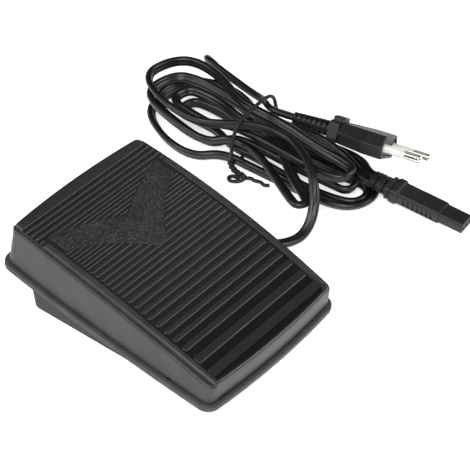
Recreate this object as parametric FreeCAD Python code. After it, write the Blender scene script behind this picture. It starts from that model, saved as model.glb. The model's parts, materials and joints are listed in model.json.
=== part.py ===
import FreeCAD, Part
import math
import os

# Sewing machine foot pedal with its cords, plug and machine connector, in millimetres.
# +X is the cord side, -Y the low heel end, +Y the high toe end, +Z up, and z = 0 the floor.

os.makedirs("parts", exist_ok=True)
Vec = FreeCAD.Vector

# Treadle outline, measured in the plane of its rim, which is tilted up towards the toe
RIM_LENGTH = 121.2
RIM_WIDTH_TOE = 90.4
RIM_WIDTH_HEEL = RIM_WIDTH_TOE - 1.9
RIM_SIDE_BOW = 1.45
RIM_END_BOW = 2.3
RIM_CORNER_R = 6.5
RIM_HEIGHT = 3.2
RIM_UNDERSIDE_AT_HEEL = 6.0
RIM_SLOPE = 0.167
FLANGE_THICK = 2.0
RIM_WALL = 1.93
RIM_LOW_EDGE_R = 0.9
RIM_TOP_EDGE_R = 0.7
TILT = math.atan(RIM_SLOPE)
RIM_MIDDLE_Y = RIM_HEIGHT / 2 * math.sin(TILT)
RIM_MIDDLE_Z = RIM_UNDERSIDE_AT_HEEL + RIM_LENGTH / 2 * math.sin(TILT)

# Treadle cover
COVER_GAP = 0.12
COVER_WALL = 1.9
COVER_DRAFT = math.tan(math.radians(3.0))
TOP_AT_HEEL = 12.9
TOP_AT_MIDDLE = 21.4
TOP_AT_TOE = 23.3
TOP_THICK = 2.0
TOP_EDGE_R = 1.2
PANEL_RISE = 1.5
PANEL_SIDE_STEP = 1.8
PANEL_EDGE_R = 1.4

# Tread: bars of growing pitch from the toe to the heel, whose steps share out the length that is left
TREAD_DEPTH = 0.8
TREAD_HALF_WIDTH = RIM_WIDTH_HEEL / 2 - 6.45
TREAD_HEEL_MARGIN = 1.9
TREAD_TOE_INSET = 8.0
TREAD_CORNER_R = 1.5
BAR_HALF_LENGTH = TREAD_HALF_WIDTH - 1.0
BAR_STEPS = [8] * 2 + [6] + [5] * 3 + [4] * 4 + [3] * 7 + [2] * 12 + [3] * 4
BAR_UNIT = (RIM_LENGTH - 13.62) / sum(BAR_STEPS)
BAR_FIRST_EDGE = 5.7 - RIM_LENGTH / 2
BAR_FILL = 0.5
BAR_END_R = 1.1
TOE_BARS = 5
TOE_BAR_HALF_LENGTH = RIM_WIDTH_TOE / 2 - 4.8

# Chevron: shares of the tread's half width across and of the rim's half length along
CHEVRON_LIFT = 0.35
CHEVRON_OUTER = [(0.0926, 0.1155), (0.4497, 0.3432), (1.0, 0.5198)]
CHEVRON_INNER = [(0.0, 0.4604), (0.3968, 0.5875), (1.0, 0.7096)]
CHEVRON_ARM_END = 0.9365

# Four screws that hold the rim frame to the cover, placed in the rim's plane
SCREW_TOE = (RIM_WIDTH_TOE / 2 - 6.0, RIM_LENGTH / 2 - 4.2)
SCREW_HEEL = (RIM_WIDTH_HEEL / 2 - 8.25, 5.0 - RIM_LENGTH / 2)
SCREW_BOSS_R = 2.15
SCREW_SHANK_R = 1.1
SCREW_HEAD_R = 2.0
SCREW_HEAD_THICK = 1.2
SCREW_LENGTH = 9.0

# Base tub, set back from the rim
TUB_BOTTOM = 0.8
TUB_HALF_WIDTH = RIM_WIDTH_HEEL / 2 - 7.95
TUB_TOE = RIM_LENGTH / 2 - 8.8
TUB_HEEL = 10.6 - RIM_LENGTH / 2
TUB_CORNER_R = 5.0
TUB_FOOT_R = 0.8
TUB_DRAFT = 0.072
TUB_END_DRAFT = 0.035
TUB_WALL = 2.0
TUB_FLOOR = 2.0
TUB_RISE_ABOVE_FLANGE = 3.0
TUB_CLEARANCE = 0.9
FOOT_R = 5.0
FOOT_HEIGHT = 1.6
FOOT_X = TUB_HALF_WIDTH - 8.3
FOOT_Y = (TUB_HEEL + 9.0, TUB_TOE - 8.8)
STOP_X = 20.0
STOP_WIDTH = 8.0
STOP_REACH = 2.2

# Hinge
HINGE_Y = TUB_HEEL + 13.0
HINGE_ABOVE_FLANGE = 1.0133
HINGE_Z = (RIM_MIDDLE_Z + (HINGE_Y - RIM_MIDDLE_Y) * RIM_SLOPE + FLANGE_THICK / math.cos(TILT)
           + HINGE_ABOVE_FLANGE)
PIN_R = 1.5
PIN_HALF_LENGTH = RIM_WIDTH_HEEL / 2 - 1.65
PIN_RUNNING_GAP = 0.06
PIN_SEAT_GAP = 0.05
HINGE_BOSS_R = 3.6
HINGE_BOSS_LENGTH = 4.5
SADDLE_THICK = 2.7
SADDLE_HALF_LENGTH = 3.2
SADDLE_TOP = 16.0

# Return springs
SPRING_X = TUB_HALF_WIDTH - 8.3
SPRING_Y = TUB_TOE - 21.8
SPRING_MEAN_R = 4.2
SPRING_WIRE_R = 0.5
SPRING_TURNS = 5
SPRING_LOW_Z = 10.0
SPRING_HIGH_Z = 32.0
SPRING_SEAT_R = 5.4
SPRING_FLANGE_THICK = 1.6
SPRING_WEB = 1.4
SPRING_CORE_R = 3.2
SPRING_CORE_LENGTH = 4.0

# Speed control gearing
GEAR_MODULE = 1.0
SECTOR_REACH = 48.0
SECTOR_TEETH_FULL = round(2 * SECTOR_REACH / GEAR_MODULE)
PINION_TEETH = 12
GEAR_DIRECTION = 8.0
GEAR_BACKLASH = 0.2
SECTOR_THICK = 3.0
SECTOR_X = -4.0
SECTOR_TEETH_BELOW = 1
SECTOR_TEETH_ABOVE = 4
PINION_THICK = 4.5
SHAFT_R = 3.0
SHAFT_GAP = 0.05

SECTOR_PITCH_R = GEAR_MODULE * SECTOR_TEETH_FULL / 2
PINION_PITCH_R = GEAR_MODULE * PINION_TEETH / 2
GEAR_ANGLE = math.radians(GEAR_DIRECTION)
SHAFT_Y = HINGE_Y + (SECTOR_PITCH_R + PINION_PITCH_R) * math.cos(GEAR_ANGLE)
SHAFT_Z = HINGE_Z + (SECTOR_PITCH_R + PINION_PITCH_R) * math.sin(GEAR_ANGLE)

# Circuit board, placed from the shaft, and the parts on it, placed from its edges
BOARD_LENGTH = 52.0
BOARD_WIDTH = 2 * (SPRING_X - 7.0)
BOARD_THICK = 1.6
BOARD_CENTRE_Y = SHAFT_Y + 2.5255
BOARD_UNDERSIDE = 6.0
BOARD_HOLE_R = 1.5
BOARD_HOLE_MARGIN = 3.5
BOARD_POST_R = 3.0
BOARD_LEFT = -BOARD_WIDTH / 2
BOARD_RIGHT = BOARD_WIDTH / 2
BOARD_LOW_Y = BOARD_CENTRE_Y - BOARD_LENGTH / 2
HEAT_SINK_PLACE = (BOARD_LEFT + 2.5, BOARD_LOW_Y + 29.0)
HEAT_SINK_SIZE = (7.6, 16.0, 14.0)
HEAT_SINK_PLATE = 1.6
HEAT_SINK_FIN = 1.2
HEAT_SINK_FINS = 5
TRIAC_Y = HEAT_SINK_PLACE[1] + 3.0
TRIAC_WIDTH = 10.0
TRIAC_CASE = (2.4, 6.5)
TRIAC_TAB = (1.3, 10.5)
TRIAC_LEG_LENGTH = 3.0
CAPACITOR_PLACE = (BOARD_LEFT + 4.4, BOARD_LOW_Y + 11.0)
CAPACITOR_SIZE = (8.0, 13.0, 11.4)
CHOKE_PLACE = (BOARD_RIGHT - 9.5, BOARD_LOW_Y + 39.5)
CHOKE_MEAN_R = 6.0
CHOKE_WINDING_R = 2.9
RESISTOR_X = BOARD_LEFT + 13.0
RESISTOR_Y = (BOARD_LOW_Y + 5.5, BOARD_LOW_Y + 9.5)
RESISTOR_LENGTH = 6.6
RESISTOR_R = 1.3
LEAD_R = 0.35
FUSE_PLACE = (BOARD_RIGHT - 6.0, BOARD_LOW_Y + 13.0)
FUSE_LENGTH = 16.0
FUSE_GLASS_R = 2.2
FUSE_CAP_R = 2.5
FUSE_CAP_LENGTH = 4.0

# Speed control resistor, terminals and cord clamp
POT_X = 2.0
POT_R = 8.0
POT_DEPTH = 8.0
POT_BUSH_R = 4.6
POT_BUSH_LENGTH = 2.6
SHAFT_END = POT_X + POT_DEPTH - 1.5
TERMINAL_X = BOARD_RIGHT - 10.7
TERMINAL_Y = BOARD_LOW_Y + 1.0
TERMINAL_SIZE = (9.2, 7.0, 8.0)
TERMINAL_PITCH = 4.4
CLAMP_X = TUB_HALF_WIDTH - 9.8
CLAMP_SCREW_OUT = 6.8
CLAMP_WIDTH = 5.2
CLAMP_THICK = 1.8
CLAMP_POST_R = 2.6
INSIDE_SCREW_R = 1.1
INSIDE_SCREW_HEAD_R = 2.3
INSIDE_SCREW_HEAD_THICK = 1.4

# Cord, drawn round at the size that has the flat twin cord's section
CORD_R = 2.2
CORD_EXIT_Y = TERMINAL_Y - 6.0
CORD_EXIT_Z = 6.4
RELIEF_LENGTH = 19.0
RELIEF_ROOT_R = 3.7
RELIEF_TIP_R = 3.0
RELIEF_NECK_R = 3.3
RELIEF_HEAD_THICK = 2.2
RELIEF_GROOVES = 6
RELIEF_GROOVE_PITCH = 2.3
RELIEF_GROOVE_WIDTH = 1.0
RELIEF_GROOVE_DEPTH = 0.5
RELIEF_RETAINER = 1.4
SEAT = 0.05

# Hank of both cords: two layers of loops for each cord, drawn in at the waist, where the tie holds them.
# A loop has eight stations, numbered from the waist on the -X side, and the two layers meet at station 16.
HANK_X = 115.6
HANK_Y = 46.0
HANK_WAIST_INNER = 9.2
HANK_WAIST_STEP = 4.95
HANK_WAIST_LIFT = 1.45
HANK_LAYER = 5.2
HANK_FLOOR_GAP = 0.1
HANK_REVERSE = 16
PEDAL_HANK_STATIONS = (9, 28)
MAINS_HANK_STATIONS = (3, 29)
PEDAL_LAYERS = (4, 3)
MAINS_LAYERS = (1, 2)

# Turns of each hank in the order they are wound, toe and heel in turn, measured from the middle of the waist:
# reach and half width of the widest places, their shift to +X, how much further the +X one reaches than
# the middle of the two, then reach and shift of the tip
PEDAL_TURNS = [
    (44.0, 19.0, 4.0, 9.0, 67.0, 10.0), (42.0, 9.5, -0.5, 0.0, 53.0, -0.5), (30.0, 11.8, -1.0, 5.0, 46.0, 2.0),
    (48.2, 5.2, -26.5, 0.0, 53.8, -29.8), (28.0, 20.0, -3.6, 13.0, 56.5, 4.0),
]
MAINS_TURNS = [
    (38.0, 25.0, 5.0, 0.0, 60.0, 0.0), (54.0, 17.5, 4.0, 0.0, 70.5, 5.0), (27.0, 21.7, -3.0, 4.0, 62.5, 4.0),
    (47.0, 11.0, 3.5, 0.0, 60.0, 4.0), (26.0, 11.5, -0.5, 4.0, 40.0, 2.0), (42.0, 10.5, -1.0, 0.0, 52.0, -1.0),
    (25.0, 17.5, -1.0, 8.0, 54.0, 5.0), (47.0, 23.4, -3.0, 0.0, 60.0, 0.0),
]

# Routes of the free stretches, between their first and last points
PEDAL_CORD_POINTS = [
    (61.5, -12.0, 6.4), (68.0, -14.4, 4.2), (76.0, -16.6, 4.2), (83.3, -16.1, 8.6), (89.6, -13.2, 15.9),
    (97.0, -6.2, 22.0), (105.0, 3.6, 23.4), (111.4, 16.0, 22.6), (112.0, 28.5, 23.2), (108.4, 40.0, 23.8),
    (103.0, 51.5, 22.0), (99.6, 62.5, 19.2),
]
PEDAL_END_POINTS = [(131.6, 17.5, 13.2), (130.6, 4.0, 11.2), (128.0, -7.0, 9.8)]
MAINS_LEAD_POINTS = [
    (153.2, 98.2, 5.7), (151.6, 102.7, 9.2), (148.0, 101.8, 13.9), (145.4, 90.5, 14.0), (141.8, 77.0, 15.2),
    (137.8, 63.5, 17.2), (133.8, 52.8, 20.8), (128.6, 45.0, 24.6), (124.2, 39.6, 25.9),
]

# Plug with two round pins, and three-hole machine connector
PLUG_FRONT = (125.3, 27.1, 24.8)
PLUG_AXIS = (0.247, -0.967, -0.054)
PLUG_ACROSS = (0.800, 0.234, -0.550)
PLUG_RELIEF_LENGTH = 20.0
PLUG_RELIEF_TIP = (6.4, 5.4)
PLUG_RELIEF_ROOT = (9.6, 8.0)
PLUG_RELIEF_SLOTS = 7
PLUG_RELIEF_SLOT_DEPTH = 1.6
PLUG_COLLAR_LENGTH = 4.0
PLUG_BODY_LENGTH = 26.0
PLUG_WIDTH = 30.0
PLUG_FLAT = 21.0
PLUG_NECK_WIDTH = 15.0
PLUG_THICK = 11.5
PLUG_FLARE = 0.62
PLUG_EDGE_R = 0.9
PLUG_FACE_RIM = 1.6
PLUG_FACE_DEPTH = 0.7
PLUG_TAB_HALF_WIDTH = 4.65
PLUG_TAB_PROUD = 1.7
PIN_PROUD = 19.0
PLUG_PIN_R = 2.0
PLUG_PIN_SPACING = 18.6
PLUG_PIN_SEAT = 6.0
PLUG_PIN_END_R = 1.6
CONNECTOR_START = (127.3, -19.8, 8.5)
CONNECTOR_AXIS = (0.1, -0.99, -0.1)
CONNECTOR_ACROSS = (1, 0, 0)
CONNECTOR_STRAIGHT = 4.6
CONNECTOR_RELIEF_LENGTH = 9.6
CONNECTOR_RELIEF_WIDTH = 9.8
CONNECTOR_RELIEF_THICK = 5.4
CONNECTOR_RING_PROUD = 0.8
CONNECTOR_RINGS = 4
CONNECTOR_RING_PITCH = 2.2
CONNECTOR_RING_LENGTH = 1.3
CONNECTOR_FLANGE_LENGTH = 1.2
CONNECTOR_FLANGE_NARROWER = 0.8
CONNECTOR_COLLAR_LENGTH = 7.0
CONNECTOR_COLLAR_WIDTH = 13.4
CONNECTOR_COLLAR_THICK = 8.4
CONNECTOR_GRIP_LENGTH = 22.5
CONNECTOR_GRIP_WIDTH = 11.2
CONNECTOR_GRIP_THICK = 6.8
CONNECTOR_GRIP_NOTCHES = 7
CONNECTOR_GRIP_NOTCH_DEPTH = 0.45
CONNECTOR_BARREL_LENGTH = 12.6
CONNECTOR_BARREL_WIDTH = 10.0
CONNECTOR_BARREL_THICK = 5.8
CONTACT_R = 0.75
CONTACT_WALL = 0.3
CONTACT_HOLE_GAP = 0.05
CONTACT_SPACING = 2.9
CONTACT_DEPTH = 8.0
CONTACT_SET_BACK = 1.2
CORD_PAIR = 4.8

# Wire tie round the waist of the hank, and the two ends that are twisted together beside it
TIE_R = 0.6
TIE_POINTS = [
    (97.9, 45.0, 5.6), (99.6, 46.0, 0.66), (117.0, 46.4, 0.66), (135.6, 46.0, 0.66), (136.9, 47.0, 8.0),
    (136.4, 48.6, 22.6), (131.6, 47.2, 28.4), (122.0, 46.2, 28.8), (110.4, 44.8, 28.0), (102.4, 43.8, 26.6),
    (98.0, 43.4, 20.0), (97.6, 43.6, 12.0), (97.9, 44.0, 5.2),
]
TIE_LEFT_END_POINTS = [
    (97.9, 44.8, 6.4), (96.4, 42.8, 4.8), (93.8, 40.6, 3.6), (94.2, 36.8, 2.6), (96.4, 33.6, 1.9), (94.4, 30.2, 1.2),
]
TIE_RIGHT_END_POINTS = [
    (97.9, 43.8, 6.4), (97.0, 41.6, 4.4), (97.8, 36.4, 2.8), (96.4, 31.6, 2.4), (98.6, 27.2, 1.9), (98.4, 23.4, 1.5),
]

BIG = 400.0


def save(name, shape):
    shape.exportStep("parts/%s.step" % name)


def in_global(shape):
    """Move a shape from the rim's tilted frame to the pedal's frame."""
    placed = shape.copy()
    placed.rotate(Vec(0, 0, 0), Vec(1, 0, 0), math.degrees(TILT))
    placed.translate(Vec(0, RIM_MIDDLE_Y, RIM_MIDDLE_Z))
    return placed


def in_rim_frame(shape):
    """Move a shape from the pedal's frame to the rim's tilted frame."""
    placed = shape.copy()
    placed.translate(Vec(0, -RIM_MIDDLE_Y, -RIM_MIDDLE_Z))
    placed.rotate(Vec(0, 0, 0), Vec(1, 0, 0), -math.degrees(TILT))
    return placed


def box(low, high):
    size = [high[i] - low[i] for i in range(3)]
    return Part.makeBox(size[0], size[1], size[2], Vec(*low))


def cylinder(radius, base, along, length):
    return Part.makeCylinder(radius, length, Vec(*base), Vec(*along))


def circle_through(p, q, r):
    """Centre and radius of the circle through three points of a plane."""
    d = 2 * (p[0] * (q[1] - r[1]) + q[0] * (r[1] - p[1]) + r[0] * (p[1] - q[1]))
    pp, qq, rr = (a[0] ** 2 + a[1] ** 2 for a in (p, q, r))
    cx = (pp * (q[1] - r[1]) + qq * (r[1] - p[1]) + rr * (p[1] - q[1])) / d
    cy = (pp * (r[0] - q[0]) + qq * (p[0] - r[0]) + rr * (q[0] - p[0])) / d
    return (cx, cy), math.hypot(p[0] - cx, p[1] - cy)


def circles_meet(c1, r1, c2, r2, near):
    """The point where two circles cross that lies nearer to a given point."""
    dx, dy = c2[0] - c1[0], c2[1] - c1[1]
    d = math.hypot(dx, dy)
    a = (r1 ** 2 - r2 ** 2 + d ** 2) / (2 * d)
    h = math.sqrt(r1 ** 2 - a ** 2)
    mx, my = c1[0] + a * dx / d, c1[1] + a * dy / d
    ends = [(mx - h * dy / d, my + h * dx / d), (mx + h * dy / d, my - h * dx / d)]
    return min(ends, key=lambda e: math.hypot(e[0] - near[0], e[1] - near[1]))


def outline(side_inset, heel_inset, toe_inset, corner_r, height):
    """Bowed outline of the rim, drawn in by the insets, as a wire of eight arcs."""
    half = RIM_LENGTH / 2
    toe, heel = RIM_WIDTH_TOE / 2, RIM_WIDTH_HEEL / 2
    middle = (toe + heel) / 2 + RIM_SIDE_BOW
    right = circle_through((heel, -half), (middle, 0), (toe, half))
    top = circle_through((-toe, half), (0, half + RIM_END_BOW), (toe, half))
    left = ((-right[0][0], right[0][1]), right[1])
    low = circle_through((-heel, -half), (0, -half - RIM_END_BOW), (heel, -half))
    sides = [(right, side_inset), (top, toe_inset), (left, side_inset), (low, heel_inset)]
    corners = [(toe, half), (-toe, half), (-heel, -half), (heel, -half)]
    arcs = [(c, r - inset) for (c, r), inset in sides]
    joints = []
    for i, near in enumerate(corners):
        (c1, r1), (c2, r2) = arcs[i], arcs[(i + 1) % 4]
        centre = circles_meet(c1, r1 - corner_r, c2, r2 - corner_r, near)
        touch = []
        for c, r in ((c1, r1), (c2, r2)):
            k = r / math.hypot(centre[0] - c[0], centre[1] - c[1])
            touch.append((c[0] + (centre[0] - c[0]) * k, c[1] + (centre[1] - c[1]) * k))
        bulge = ((touch[0][0] + touch[1][0]) / 2 - centre[0], (touch[0][1] + touch[1][1]) / 2 - centre[1])
        k = corner_r / math.hypot(*bulge)
        joints.append((touch[0], (centre[0] + bulge[0] * k, centre[1] + bulge[1] * k), touch[1]))
    edges = []
    for i in range(4):
        start, end = joints[i - 1][2], joints[i][0]
        c, r = arcs[i]
        mid = ((start[0] + end[0]) / 2 - c[0], (start[1] + end[1]) / 2 - c[1])
        k = r / math.hypot(*mid)
        edges.append(((start), (c[0] + mid[0] * k, c[1] + mid[1] * k), end))
        edges.append(joints[i])
    return Part.Wire([Part.Arc(*[Vec(p[0], p[1], height) for p in e]).toShape() for e in edges])


def prism(wire, length):
    return Part.Face(wire).extrude(Vec(0, 0, length))


def top_arc(lift):
    """Side view of the crowned top, as height over distance along the rim's plane."""
    half = RIM_LENGTH / 2
    points = [(-half, TOP_AT_HEEL + lift), (0, TOP_AT_MIDDLE + lift), (half, TOP_AT_TOE + lift)]
    return circle_through(*points)


def under_top(lift):
    """Everything below the crowned top raised by lift."""
    (cy, cz), r = top_arc(lift)
    return cylinder(r, (-BIG / 2, cy, cz), (1, 0, 0), BIG)


def inset_at(height):
    return RIM_WALL + COVER_GAP + COVER_DRAFT * (height - RIM_HEIGHT)


def top_edges(shape, lift):
    """Edges that lie on the crowned top raised by lift, all round its outline."""
    (cy, cz), r = top_arc(lift)
    found = []
    for edge in shape.Edges:
        span = [edge.valueAt(edge.FirstParameter + (edge.LastParameter - edge.FirstParameter) * k)
                for k in (0.1, 0.5, 0.9)]
        if all(abs(math.hypot(p.y - cy, p.z - cz) - r) < 0.01 for p in span):
            found.append(edge)
    return found


def bar_edges():
    """Heel edge and width of every bar, from the heel to the toe."""
    bars = []
    at = BAR_FIRST_EDGE
    for step in BAR_STEPS + BAR_STEPS[-1:]:
        pitch = step * BAR_UNIT
        bars.append((at, pitch * BAR_FILL))
        at += pitch
    return bars


def round_ended_bar(half_length, low, width, bottom, height):
    r = min(BAR_END_R, width / 2 - 0.03)
    body = box((-half_length, low, bottom), (half_length, low + width, bottom + height))
    return body.makeFillet(r, [e for e in body.Edges if abs(e.tangentAt(e.FirstParameter).z) > 0.99])


def chevron_prism(bottom, height):
    """Plain chevron, pointing to the heel, whose arms are gently curved."""
    outer = [(x * TREAD_HALF_WIDTH, y * RIM_LENGTH / 2) for x, y in CHEVRON_OUTER]
    inner = [(x * TREAD_HALF_WIDTH, y * RIM_LENGTH / 2) for x, y in CHEVRON_INNER]

    def side(points, sign):
        return Part.Arc(*[Vec(sign * x, y, bottom) for x, y in points]).toShape()

    (ax, ay), (bx, by), (tx, ty) = outer[0], outer[2], inner[2]
    edges = [
        Part.makeLine(Vec(-ax, ay, bottom), Vec(ax, ay, bottom)),
        side(outer, 1),
        Part.makeLine(Vec(bx, by, bottom), Vec(tx, ty, bottom)),
        side(inner, 1),
        side(inner, -1),
        Part.makeLine(Vec(-tx, ty, bottom), Vec(-bx, by, bottom)),
        side(outer, -1),
    ]
    return prism(Part.Wire(Part.__sortEdges__(edges)), height)


def tread_pocket(toe_start):
    """Recess that holds the bars, bowed with the heel edge, and open at both sides by the toe."""
    ceiling = TOP_AT_TOE + PANEL_RISE + 5
    field_inset = RIM_WIDTH_HEEL / 2 + RIM_SIDE_BOW - TREAD_HALF_WIDTH
    field = prism(outline(field_inset, inset_at(TOP_AT_HEEL) + TREAD_HEEL_MARGIN, TREAD_TOE_INSET,
                          TREAD_CORNER_R, 0), ceiling)
    field = field.common(box((-TREAD_HALF_WIDTH, -BIG, 0), (TREAD_HALF_WIDTH, toe_start, ceiling)))
    last_edge = bar_edges()[-1][0]
    across = box((-BIG, toe_start - 0.01, 0), (BIG, last_edge + 0.01, ceiling))
    return field.fuse(across)


def tread():
    """Slab of bars and chevron that stands in the pocket, to be added to the cover."""
    bars = bar_edges()
    ceiling = TOP_AT_TOE + PANEL_RISE + 5
    solids = []
    for i, (low, width) in enumerate(bars[:-1]):
        half = TOE_BAR_HALF_LENGTH if i >= len(bars) - TOE_BARS else BAR_HALF_LENGTH
        solids.append(round_ended_bar(half, low, width, 2.5, ceiling))
    figure = chevron_prism(2.5, ceiling)
    raised = Part.makeCompound(solids).cut(figure).common(under_top(PANEL_RISE))
    arm_end = CHEVRON_ARM_END * TREAD_HALF_WIDTH
    short = figure.common(box((-arm_end, -BIG, 0), (arm_end, BIG, BIG)))
    plain = short.common(under_top(PANEL_RISE - TREAD_DEPTH + CHEVRON_LIFT))
    floor = under_top(PANEL_RISE - TREAD_DEPTH - 0.3)
    return raised.cut(floor), plain.cut(floor)


def screw_places():
    """Four screws that hold the rim frame to the cover, in the rim's frame."""
    return [(sx * x, y) for x, y in (SCREW_TOE, SCREW_HEEL) for sx in (-1, 1)]


def hinge_cut(radius, half_length):
    return in_rim_frame(cylinder(radius, (-half_length, HINGE_Y, HINGE_Z), (1, 0, 0), 2 * half_length))


def cover():
    wall_foot = FLANGE_THICK + SEAT
    high = TOP_AT_TOE + 6
    r_foot = RIM_CORNER_R - inset_at(wall_foot)
    r_high = RIM_CORNER_R - inset_at(high)
    foot = outline(*[inset_at(wall_foot)] * 3, r_foot, wall_foot)
    head = outline(*[inset_at(high)] * 3, r_high, high)
    outer = Part.makeLoft([foot, head], True, True).common(under_top(0))
    outer = outer.makeFillet(TOP_EDGE_R, top_edges(outer, 0))

    side = inset_at(TOP_AT_MIDDLE) + PANEL_SIDE_STEP
    panel_outline = outline(side, inset_at(TOP_AT_HEEL) + 0.1, inset_at(TOP_AT_TOE) + 0.1, 2.6, 5.0)
    panel = prism(panel_outline, high).common(under_top(PANEL_RISE))
    panel = panel.makeFillet(PANEL_EDGE_R, top_edges(panel, PANEL_RISE))
    body = outer.fuse(panel)

    toe_start = bar_edges()[-TOE_BARS][0] - BAR_UNIT
    pocket = tread_pocket(toe_start).cut(under_top(PANEL_RISE - TREAD_DEPTH))
    body = body.cut(pocket)
    raised, plain = tread()
    body = body.fuse([raised, plain])

    inner_foot = outline(*[inset_at(wall_foot) + COVER_WALL] * 3, r_foot - COVER_WALL, wall_foot - 1)
    inner_head = outline(*[inset_at(high) + COVER_WALL] * 3, max(r_high - COVER_WALL, 0.6), high)
    hollow = Part.makeLoft([inner_foot, inner_head], True, True)
    ceiling_lift = PANEL_RISE - TREAD_DEPTH - TOP_THICK
    body = body.cut(hollow.common(under_top(ceiling_lift)))

    inside = []
    for x, y in screw_places():
        boss = cylinder(SCREW_BOSS_R, (x, y, wall_foot), (0, 0, 1), high)
        inside.append(boss.common(under_top(ceiling_lift + 0.5)))
    for sx in (-1, 1):
        inside.append(in_rim_frame(spring_post(sx)).common(under_top(ceiling_lift + 0.5)))
        inside.append(hinge_saddle(sx).common(under_top(ceiling_lift + 0.5)))
    body = body.fuse(inside)
    for x, y in screw_places():
        body = body.cut(cylinder(SCREW_SHANK_R + SEAT, (x, y, 0), (0, 0, 1), SCREW_LENGTH + 0.5))
    body = body.cut(hinge_cut(PIN_R + PIN_SEAT_GAP, BIG / 2))
    return in_global(body)


def spring_post(sx):
    """Post under the cover whose flange and core hold the spring's upper end."""
    x = sx * SPRING_X
    core = cylinder(SPRING_CORE_R, (x, SPRING_Y, SPRING_HIGH_Z - SPRING_CORE_LENGTH), (0, 0, 1), BIG)
    flange = cylinder(SPRING_SEAT_R, (x, SPRING_Y, SPRING_HIGH_Z + SEAT), (0, 0, 1), SPRING_FLANGE_THICK)
    web = box((x - SPRING_WEB / 2, SPRING_Y - SPRING_SEAT_R, SPRING_HIGH_Z + 1),
              (x + SPRING_WEB / 2, SPRING_Y + SPRING_SEAT_R, BIG))
    return core.fuse([flange, web])


def hinge_saddle(sx):
    """Lug inside the cover's wall that bears on the pin beside the base."""
    along = in_rim_frame(Part.Vertex(0, HINGE_Y, HINGE_Z)).BoundBox.YMin
    lug = box((PIN_HALF_LENGTH - SADDLE_THICK, along - SADDLE_HALF_LENGTH, FLANGE_THICK + SEAT),
              (PIN_HALF_LENGTH, along + SADDLE_HALF_LENGTH, SADDLE_TOP))
    return lug if sx > 0 else lug.mirror(Vec(0, 0, 0), Vec(1, 0, 0))


def frame():
    """Rim frame under the cover: a flange round the base's opening, with a raised lip outside."""
    outer = prism(outline(0, 0, 0, RIM_CORNER_R, 0), RIM_HEIGHT)
    rims = [e for e in outer.Edges if abs(e.BoundBox.ZMax - e.BoundBox.ZMin) < 0.001]
    low = [e for e in rims if e.BoundBox.ZMax < 0.01]
    outer = outer.makeFillet(RIM_LOW_EDGE_R, low)
    high = [e for e in outer.Edges if e.BoundBox.ZMin > RIM_HEIGHT - 0.01]
    outer = outer.makeFillet(RIM_TOP_EDGE_R, high)
    inner_r = RIM_CORNER_R - RIM_WALL
    recess = prism(outline(RIM_WALL, RIM_WALL, RIM_WALL, inner_r, FLANGE_THICK), RIM_HEIGHT)
    body = outer.cut(recess)
    opening = tub_loft(TUB_CLEARANCE, -5.0, 60.0)
    body = body.cut(in_rim_frame(opening))
    for x, y in screw_places():
        body = body.cut(cylinder(SCREW_SHANK_R + 0.2, (x, y, -1), (0, 0, 1), 10))
    body = body.cut(hinge_cut(PIN_R + PIN_SEAT_GAP, PIN_HALF_LENGTH + PIN_SEAT_GAP))
    return in_global(body)


def frame_screws():
    screws = []
    for x, y in screw_places():
        head = cylinder(SCREW_HEAD_R, (x, y, -SCREW_HEAD_THICK - SEAT), (0, 0, 1), SCREW_HEAD_THICK)
        head = head.makeChamfer(0.4, [e for e in head.Edges if e.BoundBox.ZMax < -SCREW_HEAD_THICK])
        shank = cylinder(SCREW_SHANK_R, (x, y, -SEAT), (0, 0, 1), SCREW_LENGTH)
        slot = box((x - 1.3, y - 0.25, -BIG / 2), (x + 1.3, y + 0.25, -SCREW_HEAD_THICK - SEAT + 0.6))
        screws.append(head.fuse(shank).cut(slot))
    return in_global(Part.makeCompound(screws))


def rounded_rectangle(x0, x1, y0, y1, r, z):
    """Wire of four lines and four arcs."""
    k = r * (1 - math.sqrt(0.5))
    p = [(x1, y0 + r), (x1, y1 - r), (x1 - r, y1), (x0 + r, y1), (x0, y1 - r), (x0, y0 + r), (x0 + r, y0), (x1 - r, y0)]
    bulges = [(x1 - k, y1 - k), (x0 + k, y1 - k), (x0 + k, y0 + k), (x1 - k, y0 + k)]
    edges = []
    for i in range(4):
        a, b, c = p[2 * i], p[2 * i + 1], p[(2 * i + 2) % 8]
        edges.append(Part.makeLine(Vec(a[0], a[1], z), Vec(b[0], b[1], z)))
        edges.append(Part.Arc(Vec(b[0], b[1], z), Vec(*bulges[i], z), Vec(c[0], c[1], z)).toShape())
    return Part.Wire(edges)


def tub_section(grow, z):
    out = grow + TUB_DRAFT * (z - TUB_BOTTOM)
    end = grow + TUB_END_DRAFT * (z - TUB_BOTTOM)
    half = TUB_HALF_WIDTH + out
    return rounded_rectangle(-half, half, TUB_HEEL - end, TUB_TOE + end, TUB_CORNER_R + grow, z)


def tub_loft(grow, low, high):
    return Part.makeLoft([tub_section(grow, low), tub_section(grow, high)], True, True)


def above_plane(height):
    """Half space above a plane parallel to the rim, at a height over its underside."""
    return in_global(box((-BIG, -BIG, height), (BIG, BIG, BIG)))


def wall_x(z):
    return TUB_HALF_WIDTH + TUB_DRAFT * (z - TUB_BOTTOM)


def board_holes():
    dx, dy = BOARD_WIDTH / 2 - BOARD_HOLE_MARGIN, BOARD_LENGTH / 2 - BOARD_HOLE_MARGIN
    return [(sx * dx, BOARD_CENTRE_Y + sy * dy) for sx in (-1, 1) for sy in (-1, 1)]


def clamp_screw_places():
    return [(CLAMP_X, CORD_EXIT_Y + side * CLAMP_SCREW_OUT) for side in (-1, 1)]


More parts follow.
